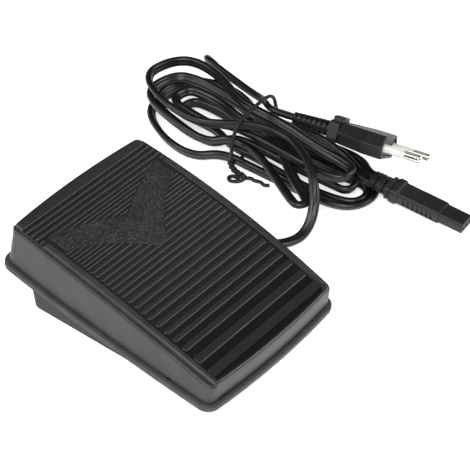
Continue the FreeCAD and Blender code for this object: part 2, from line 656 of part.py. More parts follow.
def stop_hooks(z_flange_top):
    """Two hooks on the toe wall that the rim's flange rises against."""
    y0 = TUB_TOE + TUB_END_DRAFT * (z_flange_top - TUB_BOTTOM)
    side_view = [(y0 - 1.0, 0.3), (y0 + STOP_REACH, 0.5), (y0 + STOP_REACH, 1.2), (y0 - 1.0, 2.9), (y0 - 1.0, 0.3)]
    hooks = []
    for x in (-STOP_X, STOP_X):
        outline_points = [Vec(x - STOP_WIDTH / 2, y, z_flange_top + z) for y, z in side_view]
        hooks.append(Part.Face(Part.makePolygon(outline_points)).extrude(Vec(STOP_WIDTH, 0, 0)))
    return hooks


def tub():
    rim_top = FLANGE_THICK + TUB_RISE_ABOVE_FLANGE
    solid = tub_loft(0, TUB_BOTTOM, 60)
    foot_edges = [e for e in solid.Edges if e.BoundBox.ZMax < TUB_BOTTOM + 0.01]
    solid = solid.makeFillet(TUB_FOOT_R, foot_edges)
    inside = tub_loft(-TUB_WALL, TUB_BOTTOM + TUB_FLOOR, 70)
    body = solid.cut(inside).cut(above_plane(rim_top))
    floor_top = TUB_BOTTOM + TUB_FLOOR
    added = []
    for sx in (-1, 1):
        wall = wall_x(HINGE_Z)
        x0 = sx * (wall - 1.0)
        boss = cylinder(HINGE_BOSS_R, (x0, HINGE_Y, HINGE_Z), (-sx, 0, 0), HINGE_BOSS_LENGTH - 1.0)
        ear = cylinder(HINGE_BOSS_R, (sx * wall, HINGE_Y, HINGE_Z), (-sx, 0, 0), TUB_WALL)
        added += [boss, ear]
        x = sx * SPRING_X
        added.append(cylinder(SPRING_SEAT_R, (x, SPRING_Y, floor_top - 0.5), (0, 0, 1), SPRING_LOW_Z - SEAT - floor_top + 0.5))
        added.append(cylinder(SPRING_CORE_R, (x, SPRING_Y, floor_top), (0, 0, 1), SPRING_LOW_Z + SPRING_CORE_LENGTH - floor_top))
    for x, y in board_holes():
        added.append(cylinder(BOARD_POST_R, (x, y, floor_top - 0.5), (0, 0, 1), BOARD_UNDERSIDE - SEAT - floor_top + 0.5))
    for x, y in clamp_screw_places():
        added.append(cylinder(CLAMP_POST_R, (x, y, floor_top - 0.5), (0, 0, 1), CORD_EXIT_Z - SEAT - floor_top + 0.5))
    added += stop_hooks(flange_top_at(TUB_TOE + 1.5))
    body = body.fuse(added)
    for x, y in board_holes() + clamp_screw_places():
        body = body.cut(cylinder(INSIDE_SCREW_R + SEAT, (x, y, floor_top - 0.3), (0, 0, 1), 12))
    body = body.cut(cylinder(PIN_R + PIN_RUNNING_GAP, (-BIG / 2, HINGE_Y, HINGE_Z), (1, 0, 0), BIG))
    for x in (-FOOT_X, FOOT_X):
        for y in FOOT_Y:
            body = body.cut(cylinder(FOOT_R + 0.1, (x, y, 0), (0, 0, 1), FOOT_HEIGHT + SEAT))
    hole_x = wall_x(CORD_EXIT_Z) - TUB_WALL - 2
    body = body.cut(cylinder(RELIEF_NECK_R + SEAT, (hole_x, CORD_EXIT_Y, CORD_EXIT_Z), (1, 0, 0), 8))
    return body


def flange_top_at(y):
    """Height of the flange's upper face over a place on the pedal's length."""
    return RIM_MIDDLE_Z + (y - RIM_MIDDLE_Y) * math.tan(TILT) + FLANGE_THICK / math.cos(TILT)


def feet():
    discs = []
    for x in (-FOOT_X, FOOT_X):
        for y in FOOT_Y:
            disc = cylinder(FOOT_R, (x, y, 0), (0, 0, 1), FOOT_HEIGHT)
            discs.append(disc.makeChamfer(0.4, [e for e in disc.Edges if e.BoundBox.ZMax < 0.01]))
    return Part.makeCompound(discs)


def hinge_pin():
    pin = cylinder(PIN_R, (-PIN_HALF_LENGTH, HINGE_Y, HINGE_Z), (1, 0, 0), 2 * PIN_HALF_LENGTH)
    ends = [e for e in pin.Edges if e.BoundBox.XMax - e.BoundBox.XMin < 0.001]
    return pin.makeChamfer(0.3, ends)


def biarc(p0, t0, p1, t1):
    """Two arcs from p0 to p1 that leave along t0 and arrive along t1."""
    v = p1 - p0
    t = t0 + t1
    spread = 2 * (1 - t0.dot(t1))
    if spread < 1e-9:
        d = v.dot(v) / (4 * v.dot(t1))
    else:
        d = (-v.dot(t) + math.sqrt(v.dot(t) ** 2 + spread * v.dot(v))) / spread
    mid = (p0 + p1 + (t0 - t1) * d) * 0.5
    return [arc_from(p0, t0, mid), arc_from(p1, -t1, mid, back=True)]


def arc_from(start, tangent, end, back=False):
    chord = end - start
    side = tangent - chord * (tangent.dot(chord) / chord.dot(chord))
    if side.Length < 1e-7:
        edge = (end, start) if back else (start, end)
        return Part.makeLine(*edge)
    side.normalize()
    angle = tangent.getAngle(chord)
    mid = (start + end) * 0.5 + side * (chord.Length / 2 * math.tan(angle / 2))
    points = (end, mid, start) if back else (start, mid, end)
    return Part.Arc(*points).toShape()


def pipe(edges, radius):
    """Round solid of a radius along a smooth chain of edges."""
    start = edges[0].valueAt(edges[0].FirstParameter)
    tangent = edges[0].tangentAt(edges[0].FirstParameter)
    ring = Part.Wire(Part.makeCircle(radius, start, tangent))
    return Part.Wire(edges).makePipeShell([ring], True, False)


def helix_spring(x, y, low, high, mean_r, wire_r, turns):
    """Compression spring with a closed turn at each end, made in quarter turns."""
    closed = 1.0
    per_turn = 2
    bottom, top = low + wire_r, high - wire_r
    flat = 2 * wire_r * 1.15

    def height(t):
        if t < closed:
            return bottom + flat * t / closed
        if t > turns - closed:
            return top - flat * (turns - t) / closed
        k = (t - closed) / (turns - 2 * closed)
        return bottom + flat + (top - bottom - 2 * flat) * k

    def point(t):
        a = 2 * math.pi * t
        return Vec(x + mean_r * math.cos(a), y + mean_r * math.sin(a), height(t))

    def heading(t):
        e = 0.02
        lo, hi = max(t - e, 0), min(t + e, turns)
        rise = (height(hi) - height(lo)) / (hi - lo) / (2 * math.pi * mean_r)
        a = 2 * math.pi * t
        h = Vec(-math.sin(a), math.cos(a), rise)
        return h.normalize()

    stations = [i / per_turn for i in range(turns * per_turn + 1)]
    edges = []
    for a, b in zip(stations, stations[1:]):
        edges += biarc(point(a), heading(a), point(b), heading(b))
    return pipe(edges, wire_r)


def springs():
    made = [helix_spring(sx * SPRING_X, SPRING_Y, SPRING_LOW_Z, SPRING_HIGH_Z, SPRING_MEAN_R, SPRING_WIRE_R, SPRING_TURNS)
            for sx in (-1, 1)]
    return Part.makeCompound(made)


def polar(cy, cz, r, angle, x):
    return Vec(x, cy + r * math.cos(angle), cz + r * math.sin(angle))


def sector():
    """Toothed quadrant under the cover, centred on the hinge."""
    x0 = SECTOR_X - SECTOR_THICK / 2
    pitch = 2 * math.pi / SECTOR_TEETH_FULL
    tip, root = SECTOR_PITCH_R + 0.8 * GEAR_MODULE, SECTOR_PITCH_R - 1.25 * GEAR_MODULE
    half_tooth = (math.pi * GEAR_MODULE / 2 - GEAR_BACKLASH) / 2
    lean = math.tan(math.radians(20))
    points = []
    first = GEAR_ANGLE - SECTOR_TEETH_BELOW * pitch
    for i in range(SECTOR_TEETH_BELOW + SECTOR_TEETH_ABOVE + 1):
        a = first + i * pitch
        wide = half_tooth + (SECTOR_PITCH_R - root) * lean
        narrow = half_tooth - (tip - SECTOR_PITCH_R) * lean
        points += [(root, a - wide / root), (tip, a - narrow / tip), (tip, a + narrow / tip), (root, a + wide / root)]
    last = points[-1][1]
    start = points[0][1]
    points.append((root, last + 0.03))
    points.append((root - 5.0, last + 0.03))
    points.append((root - 5.0, start - 0.03))
    points.append((root, start - 0.03))
    ring = [polar(HINGE_Y, HINGE_Z, r, a, x0) for r, a in points]
    toothed = Part.Face(Part.makePolygon(ring + ring[:1])).extrude(Vec(SECTOR_THICK, 0, 0))
    y_mid = HINGE_Y + (root - 3.0) * math.cos(last)
    z_low = HINGE_Z + (root - 3.0) * math.sin(last) - 1.5
    arm = box((x0, y_mid - 4.0, z_low), (x0 + SECTOR_THICK, y_mid + 1.6, 60))
    foot = box((x0 - 4, y_mid - 6.0, 0), (x0 + SECTOR_THICK + 4, y_mid + 4.0, 60))
    ceiling = in_global(under_top(PANEL_RISE - TREAD_DEPTH - TOP_THICK - SEAT))
    under_foot = in_global(under_top(PANEL_RISE - TREAD_DEPTH - TOP_THICK - SEAT - 1.8))
    plate = foot.common(ceiling).cut(under_foot)
    rib = arm.common(ceiling)
    return toothed.fuse([rib, plate])


def pinion():
    """Pinion on the shaft of the speed control, in mesh with the quadrant."""
    x0 = SECTOR_X - PINION_THICK / 2
    base_r = PINION_PITCH_R * math.cos(math.radians(20))
    tip, root = PINION_PITCH_R + GEAR_MODULE, PINION_PITCH_R - 1.05 * GEAR_MODULE

    def involute(r):
        return math.sqrt((r / base_r) ** 2 - 1) - math.acos(base_r / r)

    thick = (math.pi * GEAR_MODULE / 2 - GEAR_BACKLASH) / 2 / PINION_PITCH_R + involute(PINION_PITCH_R)
    radii = [base_r + (tip - base_r) * k / 4 for k in range(5)]
    pitch = 2 * math.pi / PINION_TEETH
    facing = GEAR_ANGLE + math.pi + pitch / 2
    ring = []
    for i in range(PINION_TEETH):
        a = facing + i * pitch
        low = [(r, a - thick + involute(r)) for r in radii]
        high = [(r, a + thick - involute(r)) for r in reversed(radii)]
        ring += [(root, a - thick)] + low + high + [(root, a + thick)]
    points = [polar(SHAFT_Y, SHAFT_Z, r, a, x0) for r, a in ring]
    gear = Part.Face(Part.makePolygon(points + points[:1])).extrude(Vec(PINION_THICK, 0, 0))
    hub = cylinder(PINION_PITCH_R - 1.4, (x0 - 1.0, SHAFT_Y, SHAFT_Z), (1, 0, 0), PINION_THICK + 2.0)
    shaft = cylinder(SHAFT_R, (x0, SHAFT_Y, SHAFT_Z), (1, 0, 0), SHAFT_END - x0)
    return gear.fuse([hub, shaft])


def potentiometer():
    """Speed control resistor: round can, bush round the shaft, bracket and three legs to the board."""
    low = board_top()
    can = cylinder(POT_R, (POT_X, SHAFT_Y, SHAFT_Z), (1, 0, 0), POT_DEPTH)
    back = POT_X + POT_DEPTH
    can = can.makeFillet(0.6, [e for e in can.Edges if e.BoundBox.XMin > back - 0.01 and e.Curve.TypeId == "Part::GeomCircle"])
    bush = cylinder(POT_BUSH_R, (POT_X - POT_BUSH_LENGTH, SHAFT_Y, SHAFT_Z), (1, 0, 0), POT_BUSH_LENGTH + 1)
    plate_x = POT_X + 1.2
    half = POT_R - 2.0
    bracket = box((plate_x, SHAFT_Y - half, low), (plate_x + 1.2, SHAFT_Y + half, SHAFT_Z))
    foot = box((plate_x, SHAFT_Y - half, low), (back, SHAFT_Y + half, low + 1.0))
    legs = [box((back - 2.0, SHAFT_Y + dy - 0.5, low + 0.5), (back - 1.4, SHAFT_Y + dy + 0.5, SHAFT_Z)) for dy in (-4, 0, 4)]
    body = can.fuse([bush, bracket, foot] + legs)
    bore_x = POT_X - POT_BUSH_LENGTH - 1
    return body.cut(cylinder(SHAFT_R + SHAFT_GAP, (bore_x, SHAFT_Y, SHAFT_Z), (1, 0, 0), SHAFT_END - bore_x + 0.2))


def board():
    x, y = BOARD_WIDTH / 2, BOARD_LENGTH / 2
    plate = box((-x, BOARD_CENTRE_Y - y, BOARD_UNDERSIDE), (x, BOARD_CENTRE_Y + y, BOARD_UNDERSIDE + BOARD_THICK))
    plate = plate.makeFillet(2.0, [e for e in plate.Edges if abs(e.tangentAt(e.FirstParameter).z) > 0.99])
    for hx, hy in board_holes():
        plate = plate.cut(cylinder(BOARD_HOLE_R, (hx, hy, 0), (0, 0, 1), 20))
    return plate


def pan_screw(x, y, seat_z, length):
    """Slotted screw whose head rests at a height."""
    head_top = seat_z + INSIDE_SCREW_HEAD_THICK
    head = cylinder(INSIDE_SCREW_HEAD_R, (x, y, seat_z), (0, 0, 1), INSIDE_SCREW_HEAD_THICK)
    head = head.makeChamfer(0.5, [e for e in head.Edges if e.BoundBox.ZMin > head_top - 0.01])
    shank = cylinder(INSIDE_SCREW_R, (x, y, seat_z - length), (0, 0, 1), length + 0.2)
    slot = box((x - 1.5, y - 0.25, head_top - 0.7), (x + 1.5, y + 0.25, head_top + 1))
    return head.fuse(shank).cut(slot)


def board_screws():
    top = BOARD_UNDERSIDE + BOARD_THICK + SEAT
    depth = top - (TUB_BOTTOM + TUB_FLOOR)
    return Part.makeCompound([pan_screw(x, y, top, depth) for x, y in board_holes()])


def board_top():
    """Height at which a part rests on the board."""
    return BOARD_UNDERSIDE + BOARD_THICK + SEAT


def heat_sink():
    """Comb of fins on a back plate, standing on the board."""
    top = board_top()
    x0, y0 = HEAT_SINK_PLACE
    wide, length, high = HEAT_SINK_SIZE
    back = box((x0, y0, top), (x0 + HEAT_SINK_PLATE, y0 + length, top + high))
    pitch = (length - HEAT_SINK_FIN) / (HEAT_SINK_FINS - 1) - 0.1
    fins = [box((x0 + HEAT_SINK_PLATE / 2, y0 + i * pitch, top), (x0 + wide, y0 + HEAT_SINK_FIN + i * pitch, top + high))
            for i in range(HEAT_SINK_FINS)]
    return back.fuse(fins)


def triac():
    """Power switch screwed flat to the heat sink, on three legs."""
    top = board_top()
    y0 = TRIAC_Y
    face_x = HEAT_SINK_PLACE[0] - SEAT
    case_thick, case_high = TRIAC_CASE
    tab_thick, tab_high = TRIAC_TAB
    case_low = top + TRIAC_LEG_LENGTH
    tab = box((face_x - tab_thick, y0, case_low + 1.5), (face_x, y0 + TRIAC_WIDTH, case_low + 1.5 + tab_high))
    case = box((face_x - case_thick, y0, case_low), (face_x - tab_thick / 2, y0 + TRIAC_WIDTH, case_low + case_high))
    legs = []
    for i in (-1, 0, 1):
        y = y0 + TRIAC_WIDTH / 2 + i * 2.5
        legs.append(box((face_x - tab_thick - 0.5, y - 0.45, top), (face_x - tab_thick, y + 0.45, case_low + 1.0)))
    return tab.fuse([case] + legs)


def capacitor():
    """Box film capacitor across the mains."""
    top = board_top()
    x0, y0 = CAPACITOR_PLACE
    wide, length, high = CAPACITOR_SIZE
    low = top + 0.6
    body = box((x0, y0, low), (x0 + wide, y0 + length, low + high))
    body = body.makeFillet(0.8, [e for e in body.Edges if e.BoundBox.ZMin > low + 0.01])
    legs = [cylinder(LEAD_R, (x0 + wide / 2, y, top), (0, 0, 1), 1.5) for y in (y0 + 1.5, y0 + length - 1.5)]
    return body.fuse(legs)


def choke():
    """Toroid choke lying on the board, with a cover of windings."""
    top = board_top()
    x, y = CHOKE_PLACE
    ring = Part.makeTorus(CHOKE_MEAN_R, CHOKE_WINDING_R, Vec(x, y, top + CHOKE_WINDING_R), Vec(0, 0, 1))
    reach = CHOKE_MEAN_R + CHOKE_WINDING_R + 1
    return ring.common(box((x - reach, y - reach, top), (x + reach, y + reach, top + 2 * CHOKE_WINDING_R - 0.2)))


def resistors():
    """Two axial resistors on their bent leads."""
    top = board_top()
    made = []
    for y in RESISTOR_Y:
        z = top + RESISTOR_R + 0.3
        x0, x1 = RESISTOR_X - 2.4, RESISTOR_X + RESISTOR_LENGTH + 2.4
        body = cylinder(RESISTOR_R, (RESISTOR_X, y, z), (1, 0, 0), RESISTOR_LENGTH)
        lead = cylinder(LEAD_R, (x0, y, z), (1, 0, 0), x1 - x0)
        ends = [cylinder(LEAD_R, (x, y, top), (0, 0, 1), z + LEAD_R - top) for x in (x0 + LEAD_R, x1 - LEAD_R)]
        made.append(body.fuse([lead] + ends))
    return Part.makeCompound(made)


def fuse_link():
    """Glass fuse with metal caps, held by two clips on the board."""
    top = board_top()
    x, y0 = FUSE_PLACE
    z = top + FUSE_CAP_R + 0.9
    end = y0 + FUSE_LENGTH
    glass = cylinder(FUSE_GLASS_R, (x, y0, z), (0, 1, 0), FUSE_LENGTH)
    caps = [cylinder(FUSE_CAP_R, (x, y, z), (0, 1, 0), FUSE_CAP_LENGTH) for y in (y0 - 0.5, end + 0.5 - FUSE_CAP_LENGTH)]
    clips = [box((x - FUSE_GLASS_R, y, top), (x + FUSE_GLASS_R, y + 2.0, z - 0.8)) for y in (y0 + 0.5, end - 2.5)]
    return glass.fuse(caps + clips)


def terminal_block():
    """Two-way screw terminal for the cord's conductors."""
    top = board_top()
    wide, length, high = TERMINAL_SIZE
    x0 = TERMINAL_X - wide / 2
    middle_y = TERMINAL_Y + length / 2
    block = box((x0, TERMINAL_Y, top), (x0 + wide, TERMINAL_Y + length, top + high))
    block = block.makeChamfer(1.2, [e for e in block.Edges if e.BoundBox.ZMin > top + high - 0.1 and e.BoundBox.YLength < 0.01])
    for side in (-1, 1):
        x = TERMINAL_X + side * TERMINAL_PITCH / 2
        block = block.cut(cylinder(1.6, (x, middle_y, top + 4.6), (0, 0, 1), high))
        block = block.cut(cylinder(1.0, (x, TERMINAL_Y - 1, top + 3.0), (0, 1, 0), 4))
        screw = cylinder(1.45, (x, middle_y, top + 4.6), (0, 0, 1), 2.0)
        slot = box((x - 1.5, middle_y - 0.2, top + 6.0), (x + 1.5, middle_y + 0.2, top + high))
        block = block.fuse(screw.cut(slot))
    return block


def cord_clamp():
    """Saddle that grips the cord inside the base."""
    low = CORD_EXIT_Z + SEAT
    wide = CLAMP_SCREW_OUT + 2.8
    x0, x1 = CLAMP_X - CLAMP_WIDTH / 2, CLAMP_X + CLAMP_WIDTH / 2
    bar = box((x0, CORD_EXIT_Y - wide, low), (x1, CORD_EXIT_Y + wide, low + CLAMP_THICK))
    bar = bar.makeFillet(1.2, [e for e in bar.Edges if abs(e.tangentAt(e.FirstParameter).z) > 0.99])
    arch = cylinder(CORD_R + CLAMP_THICK + 0.1, (x0, CORD_EXIT_Y, CORD_EXIT_Z), (1, 0, 0), CLAMP_WIDTH)
    arch = arch.common(box((x0, -BIG, low), (x1, BIG, BIG)))
    body = bar.fuse(arch).cut(cylinder(CORD_R + SEAT, (x0 - 1, CORD_EXIT_Y, CORD_EXIT_Z), (1, 0, 0), CLAMP_WIDTH + 2))
    for x, y in clamp_screw_places():
        body = body.cut(cylinder(INSIDE_SCREW_R + 0.2, (x, y, 0), (0, 0, 1), 20))
    return body


def clamp_screws():
    seat_z = CORD_EXIT_Z + SEAT + CLAMP_THICK + SEAT
    depth = seat_z - (TUB_BOTTOM + TUB_FLOOR)
    return Part.makeCompound([pan_screw(x, y, seat_z, depth) for x, y in clamp_screw_places()])


RELIEF_HEAD_R = RELIEF_ROOT_R + 0.9
RELIEF_ROOT_X = wall_x(CORD_EXIT_Z + RELIEF_HEAD_R) + SEAT
RELIEF_TIP_X = RELIEF_ROOT_X + RELIEF_LENGTH
RELIEF_INNER_X = wall_x(CORD_EXIT_Z - RELIEF_HEAD_R) - TUB_WALL - 3 * SEAT - RELIEF_RETAINER


def strain_relief():
    """Tapered bush, ringed so that it bends, that holds the cord in the wall of the base."""
    y, z = CORD_EXIT_Y, CORD_EXIT_Z
    cone = Part.makeCone(RELIEF_ROOT_R, RELIEF_TIP_R, RELIEF_LENGTH, Vec(RELIEF_ROOT_X, y, z), Vec(1, 0, 0))
    head = cylinder(RELIEF_HEAD_R, (RELIEF_ROOT_X, y, z), (1, 0, 0), RELIEF_HEAD_THICK)
    neck = cylinder(RELIEF_NECK_R, (RELIEF_INNER_X, y, z), (1, 0, 0), RELIEF_ROOT_X - RELIEF_INNER_X + 1)
    retainer = cylinder(RELIEF_NECK_R + 0.2, (RELIEF_INNER_X, y, z), (1, 0, 0), RELIEF_RETAINER)
    body = cone.fuse([head, neck, retainer])
    wide = RELIEF_GROOVE_WIDTH
    for i in range(RELIEF_GROOVES):
        x = RELIEF_ROOT_X + 4.0 + RELIEF_GROOVE_PITCH * i
        core = cylinder(RELIEF_TIP_R - RELIEF_GROOVE_DEPTH, (x, y, z), (1, 0, 0), wide)
        body = body.cut(cylinder(2 * RELIEF_ROOT_R, (x, y, z), (1, 0, 0), wide).cut(core))
    return body


def bend_radius(a, b, c):
    """Radius of the arc at b, from its shorter run and its turn."""
    turn = (b - a).getAngle(c - b)
    return 0.45 * min((b - a).Length, (c - b).Length) / math.tan(turn / 2)


def route_edges(points):
    """Straight runs joined by tangent arcs that are as large as the runs allow."""
    p = [Vec(*q) for q in points]
    edges = []
    at = p[0]
    for a, b, c in zip(p, p[1:], p[2:]):
        before, after = (b - a).normalize(), (c - b).normalize()
        reach = 0.45 * min((b - a).Length, (c - b).Length)
        turn = before.getAngle(after)
        start, end = b - before * reach, b + after * reach
        inward = (after - before).normalize()
        mid = b + inward * (reach * (1 / math.sin(turn / 2) - 1 / math.tan(turn / 2)))
        edges += [Part.makeLine(at, start), Part.Arc(start, mid, end).toShape()]
        at = end
    edges.append(Part.makeLine(at, p[-1]))
    return edges


def route_tube(name, points, radius):
    """Tube along a route, with its radii and its volume printed."""
    edges = route_edges(points)
    tube = pipe(edges, radius)
    p = [Vec(*q) for q in points]
    radii = [bend_radius(*three) for three in zip(p, p[1:], p[2:])]
    length = sum(e.Length for e in edges)
    ideal = math.pi * radius ** 2 * length
    print("%s: length %.1f, volume over section times length %.4f, radii %s"
          % (name, length, tube.Volume / ideal, " ".join("%.0f" % r for r in radii)))
    return tube


def hank_station(s, first, turns, layers):
    """Point and heading of a station of a hank whose winding begins at the first station."""
    part_way = min(max((s - HANK_REVERSE + 1) / 2, 0), 1)
    z = layer_z(layers[0]) + (layer_z(layers[1]) - layer_z(layers[0])) * part_way
    at = s % 4
    toe = 1 if s % 8 < 4 else -1
    if at == 0:
        half = HANK_WAIST_INNER + HANK_WAIST_STEP * abs(s - HANK_REVERSE) / 8
        climb = (layer_z(layers[1]) - layer_z(layers[0])) / 90 if s == HANK_REVERSE else 0
        return Vec(HANK_X - toe * half, HANK_Y, z + HANK_WAIST_LIFT), Vec(0, toe, climb).normalize()
    reach, half, shift, skew, tip, tip_shift = turns[s // 4 - first // 4]
    turned = FreeCAD.Rotation(Vec(0, 0, 1), -toe * math.degrees(math.atan(tip_shift / tip)))
    middle = Vec(HANK_X, HANK_Y, z)
    if at == 2:
        return middle + Vec(tip_shift, toe * tip, 0), turned.multVec(Vec(toe, 0, 0))
    side = toe * (at - 2)
    spot = Vec(shift, toe * (reach + side * skew), 0) + turned.multVec(Vec(side * half, 0, 0))
    return middle + spot, turned.multVec(Vec(0, -side, 0))


def hank_edges(stations, turns, layers):
    edges = []
    for s in range(*stations):
        edges += biarc(*hank_station(s, stations[0], turns, layers), *hank_station(s + 1, stations[0], turns, layers))
    return edges


def layer_z(layer):
    """Height of the cord's centre in a layer of the hank, counted from 1 at the floor."""
    return CORD_R + HANK_FLOOR_GAP + (layer - 1) * HANK_LAYER


def least_gap(edges, radius, apart):
    """Least distance between surfaces of a tube's stretches that lie a given length apart."""
    points = []
    along = 0
    for edge in edges:
        n = max(2, int(edge.Length / 3))
        for i in range(n):
            k = edge.FirstParameter + (edge.LastParameter - edge.FirstParameter) * i / n
            points.append((edge.valueAt(k), along + edge.Length * i / n))
        along += edge.Length
    least = BIG
    for i, (p, a) in enumerate(points):
        for q, b in points[i + 1:]:
            if b - a > apart:
                least = min(least, p.distanceToPoint(q))
    return least - 2 * radius


def hank(name, stations, turns, layers):
    edges = hank_edges(stations, turns, layers)
    tube = pipe(edges, CORD_R)
    length = sum(e.Length for e in edges)
    ideal = math.pi * CORD_R ** 2 * length
    print("%s: length %.1f, volume over section times length %.4f, least gap to itself %.2f"
          % (name, length, tube.Volume / ideal, least_gap(edges, CORD_R, 40)))
    return tube


def placed(shape, origin, axis, across):
    """Set a shape that is drawn with Z along its axis and X across it at its place."""
    z = Vec(*axis).normalize()
    x = Vec(*across)
    x = (x - z * x.dot(z)).normalize()
    y = z.cross(x)
    matrix = FreeCAD.Matrix(x.x, y.x, z.x, origin[0], x.y, y.y, z.y, origin[1], x.z, y.z, z.z, origin[2], 0, 0, 0, 1)
    moved = shape.copy()
    moved.Placement = FreeCAD.Placement(matrix).multiply(moved.Placement)
    return moved


def stadium(width, thick, z):
    """Wire of two lines and two half circles, centred on the axis."""
    r, half = thick / 2, (width - thick) / 2
    return Part.Wire([
        Part.makeLine(Vec(-half, -r, z), Vec(half, -r, z)),
        Part.Arc(Vec(half, -r, z), Vec(half + r, 0, z), Vec(half, r, z)).toShape(),
        Part.makeLine(Vec(half, r, z), Vec(-half, r, z)),
        Part.Arc(Vec(-half, r, z), Vec(-half - r, 0, z), Vec(-half, -r, z)).toShape(),
    ])


def centred_box(width, thick, z0, z1):
    return box((-width / 2, -thick / 2, z0), (width / 2, thick / 2, z1))


def slotted_relief(length, tip, root, slots, slot_depth):
    """Flexible relief with two rows of slots on each wide side."""
    body = Part.makeLoft([stadium(*tip, 0), stadium(*root, length)], True, True)
    pitch = length / (slots + 0.5)
    cuts = []
    for i in range(slots):
        z = pitch * (i + 0.45)
        thick = tip[1] + (root[1] - tip[1]) * z / length
        for side in (-1, 1):
            low = side * thick / 2 - (slot_depth if side > 0 else 1)
            for row in (-1, 1):
                x0 = 0.45 if row > 0 else -tip[0] / 2 + 0.5
                x1 = tip[0] / 2 - 0.5 if row > 0 else -0.45
                cuts.append(box((x0, low, z), (x1, low + slot_depth + 1, z + pitch * 0.5)))
    return body.cut(cuts)


def hexagon(width, flat, thick, z):
    points = [(-width / 2, 0), (-flat / 2, -thick / 2), (flat / 2, -thick / 2),
              (width / 2, 0), (flat / 2, thick / 2), (-flat / 2, thick / 2)]
    ring = [Vec(x, y, z) for x, y in points]
    return Part.Wire(Part.makePolygon(ring + ring[:1]).Edges)


def on_plug(shape):
    return placed(shape, PLUG_FRONT, PLUG_AXIS, PLUG_ACROSS)


def plug_relief():
    return on_plug(slotted_relief(PLUG_RELIEF_LENGTH, PLUG_RELIEF_TIP, PLUG_RELIEF_ROOT,
                                  PLUG_RELIEF_SLOTS, PLUG_RELIEF_SLOT_DEPTH))


def plug_places():
    """Distances along the plug's axis of the collar's start, the body's start, the flare's end and the face."""
    collar = PLUG_RELIEF_LENGTH + SEAT
    body = collar + PLUG_COLLAR_LENGTH
    return collar, body, body + PLUG_BODY_LENGTH * PLUG_FLARE, body + PLUG_BODY_LENGTH


def plug_body():
    """Six-sided body that widens to its face, with a grip collar behind it."""
    collar_z, body_z, flare_z, face_z = plug_places()
    neck, neck_thick = PLUG_NECK_WIDTH, PLUG_THICK - 1.0
    narrow = hexagon(neck, neck - 6, neck_thick, body_z)
    full = hexagon(PLUG_WIDTH, PLUG_FLAT, PLUG_THICK, flare_z)
    shell = Part.makeLoft([narrow, full], True, True).fuse(prism(full, face_z - flare_z))
    inner_edges = edges_at(shell, body_z)
    shell = shell.makeFillet(PLUG_EDGE_R, [e for e in shell.Edges if not any(e.isSame(f) for f in inner_edges)])
    collar = centred_box(neck, neck_thick, collar_z, body_z + 1.0)
    collar = collar.makeFillet(2.0, edges_along_axis(collar))
    tab = box((-PLUG_TAB_HALF_WIDTH, 0, collar_z + 0.6), (PLUG_TAB_HALF_WIDTH, PLUG_THICK / 2 + PLUG_TAB_PROUD, body_z + 2.2))
    tab = tab.makeFillet(1.2, edges_along_axis(tab))
    body = shell.fuse([collar, tab])
    rim = 2 * PLUG_FACE_RIM
    face = Part.Face(hexagon(PLUG_WIDTH - 1.2 * rim, PLUG_FLAT - 0.7 * rim, PLUG_THICK - rim, face_z - PLUG_FACE_DEPTH))
    body = body.cut(face.extrude(Vec(0, 0, 2 * PLUG_FACE_DEPTH)))
    for sx in (-1, 1):
        base = (sx * PLUG_PIN_SPACING / 2, 0, face_z - PLUG_FACE_DEPTH - PLUG_PIN_SEAT)
        body = body.cut(cylinder(PLUG_PIN_R + SEAT, base, (0, 0, 1), 2 * PLUG_PIN_SEAT))
    return on_plug(body)


def plug_pins():
    face_z = plug_places()[3]
    foot = face_z - PLUG_FACE_DEPTH - PLUG_PIN_SEAT + SEAT
    end = face_z + PIN_PROUD
    pins = []
    for sx in (-1, 1):
        pin = cylinder(PLUG_PIN_R, (sx * PLUG_PIN_SPACING / 2, 0, foot), (0, 0, 1), end - foot)
        pins.append(pin.makeFillet(PLUG_PIN_END_R, edges_at(pin, end)))
    return on_plug(Part.makeCompound(pins))


def on_connector(shape):
    return placed(shape, CONNECTOR_START, CONNECTOR_AXIS, CONNECTOR_ACROSS)


def edges_along_axis(shape):
    return [e for e in shape.Edges if abs(e.tangentAt(e.FirstParameter).z) > 0.99]


def edges_at(shape, z):
    return [e for e in shape.Edges if abs(e.BoundBox.ZMin - z) < 0.01 and abs(e.BoundBox.ZMax - z) < 0.01]


def rounded_block(width, thick, z0, z1, corner_r, end_r):
    """Box about the axis with its long edges and its far end rounded."""
    body = centred_box(width, thick, z0, z1)
    body = body.makeFillet(corner_r, edges_along_axis(body))
    return body.makeFillet(end_r, edges_at(body, z1))


def connector_relief():
    """Relief round the two cords that meet in the connector, with thick rings round it."""
    width, thick = CONNECTOR_RELIEF_WIDTH, CONNECTOR_RELIEF_THICK
    core = prism(stadium(width, thick, 0), CONNECTOR_RELIEF_LENGTH)
    rings = []
    for i in range(CONNECTOR_RINGS):
        z = CONNECTOR_RELIEF_LENGTH - (CONNECTOR_RINGS - i) * CONNECTOR_RING_PITCH
        proud = 2 * CONNECTOR_RING_PROUD
        ring = prism(stadium(width + proud, thick + proud, z), CONNECTOR_RING_LENGTH)
        rings.append(ring.makeFillet(CONNECTOR_RING_LENGTH / 3, edges_at(ring, z) + edges_at(ring, z + CONNECTOR_RING_LENGTH)))
    return on_connector(core.fuse(rings))


def connector_places():
    """Distances along the axis of the collar's start and of the ends of collar, grip and barrel."""
    collar = CONNECTOR_RELIEF_LENGTH + SEAT
    grip = collar + CONNECTOR_COLLAR_LENGTH
    barrel = grip + CONNECTOR_GRIP_LENGTH
    return collar, grip, barrel, barrel + CONNECTOR_BARREL_LENGTH


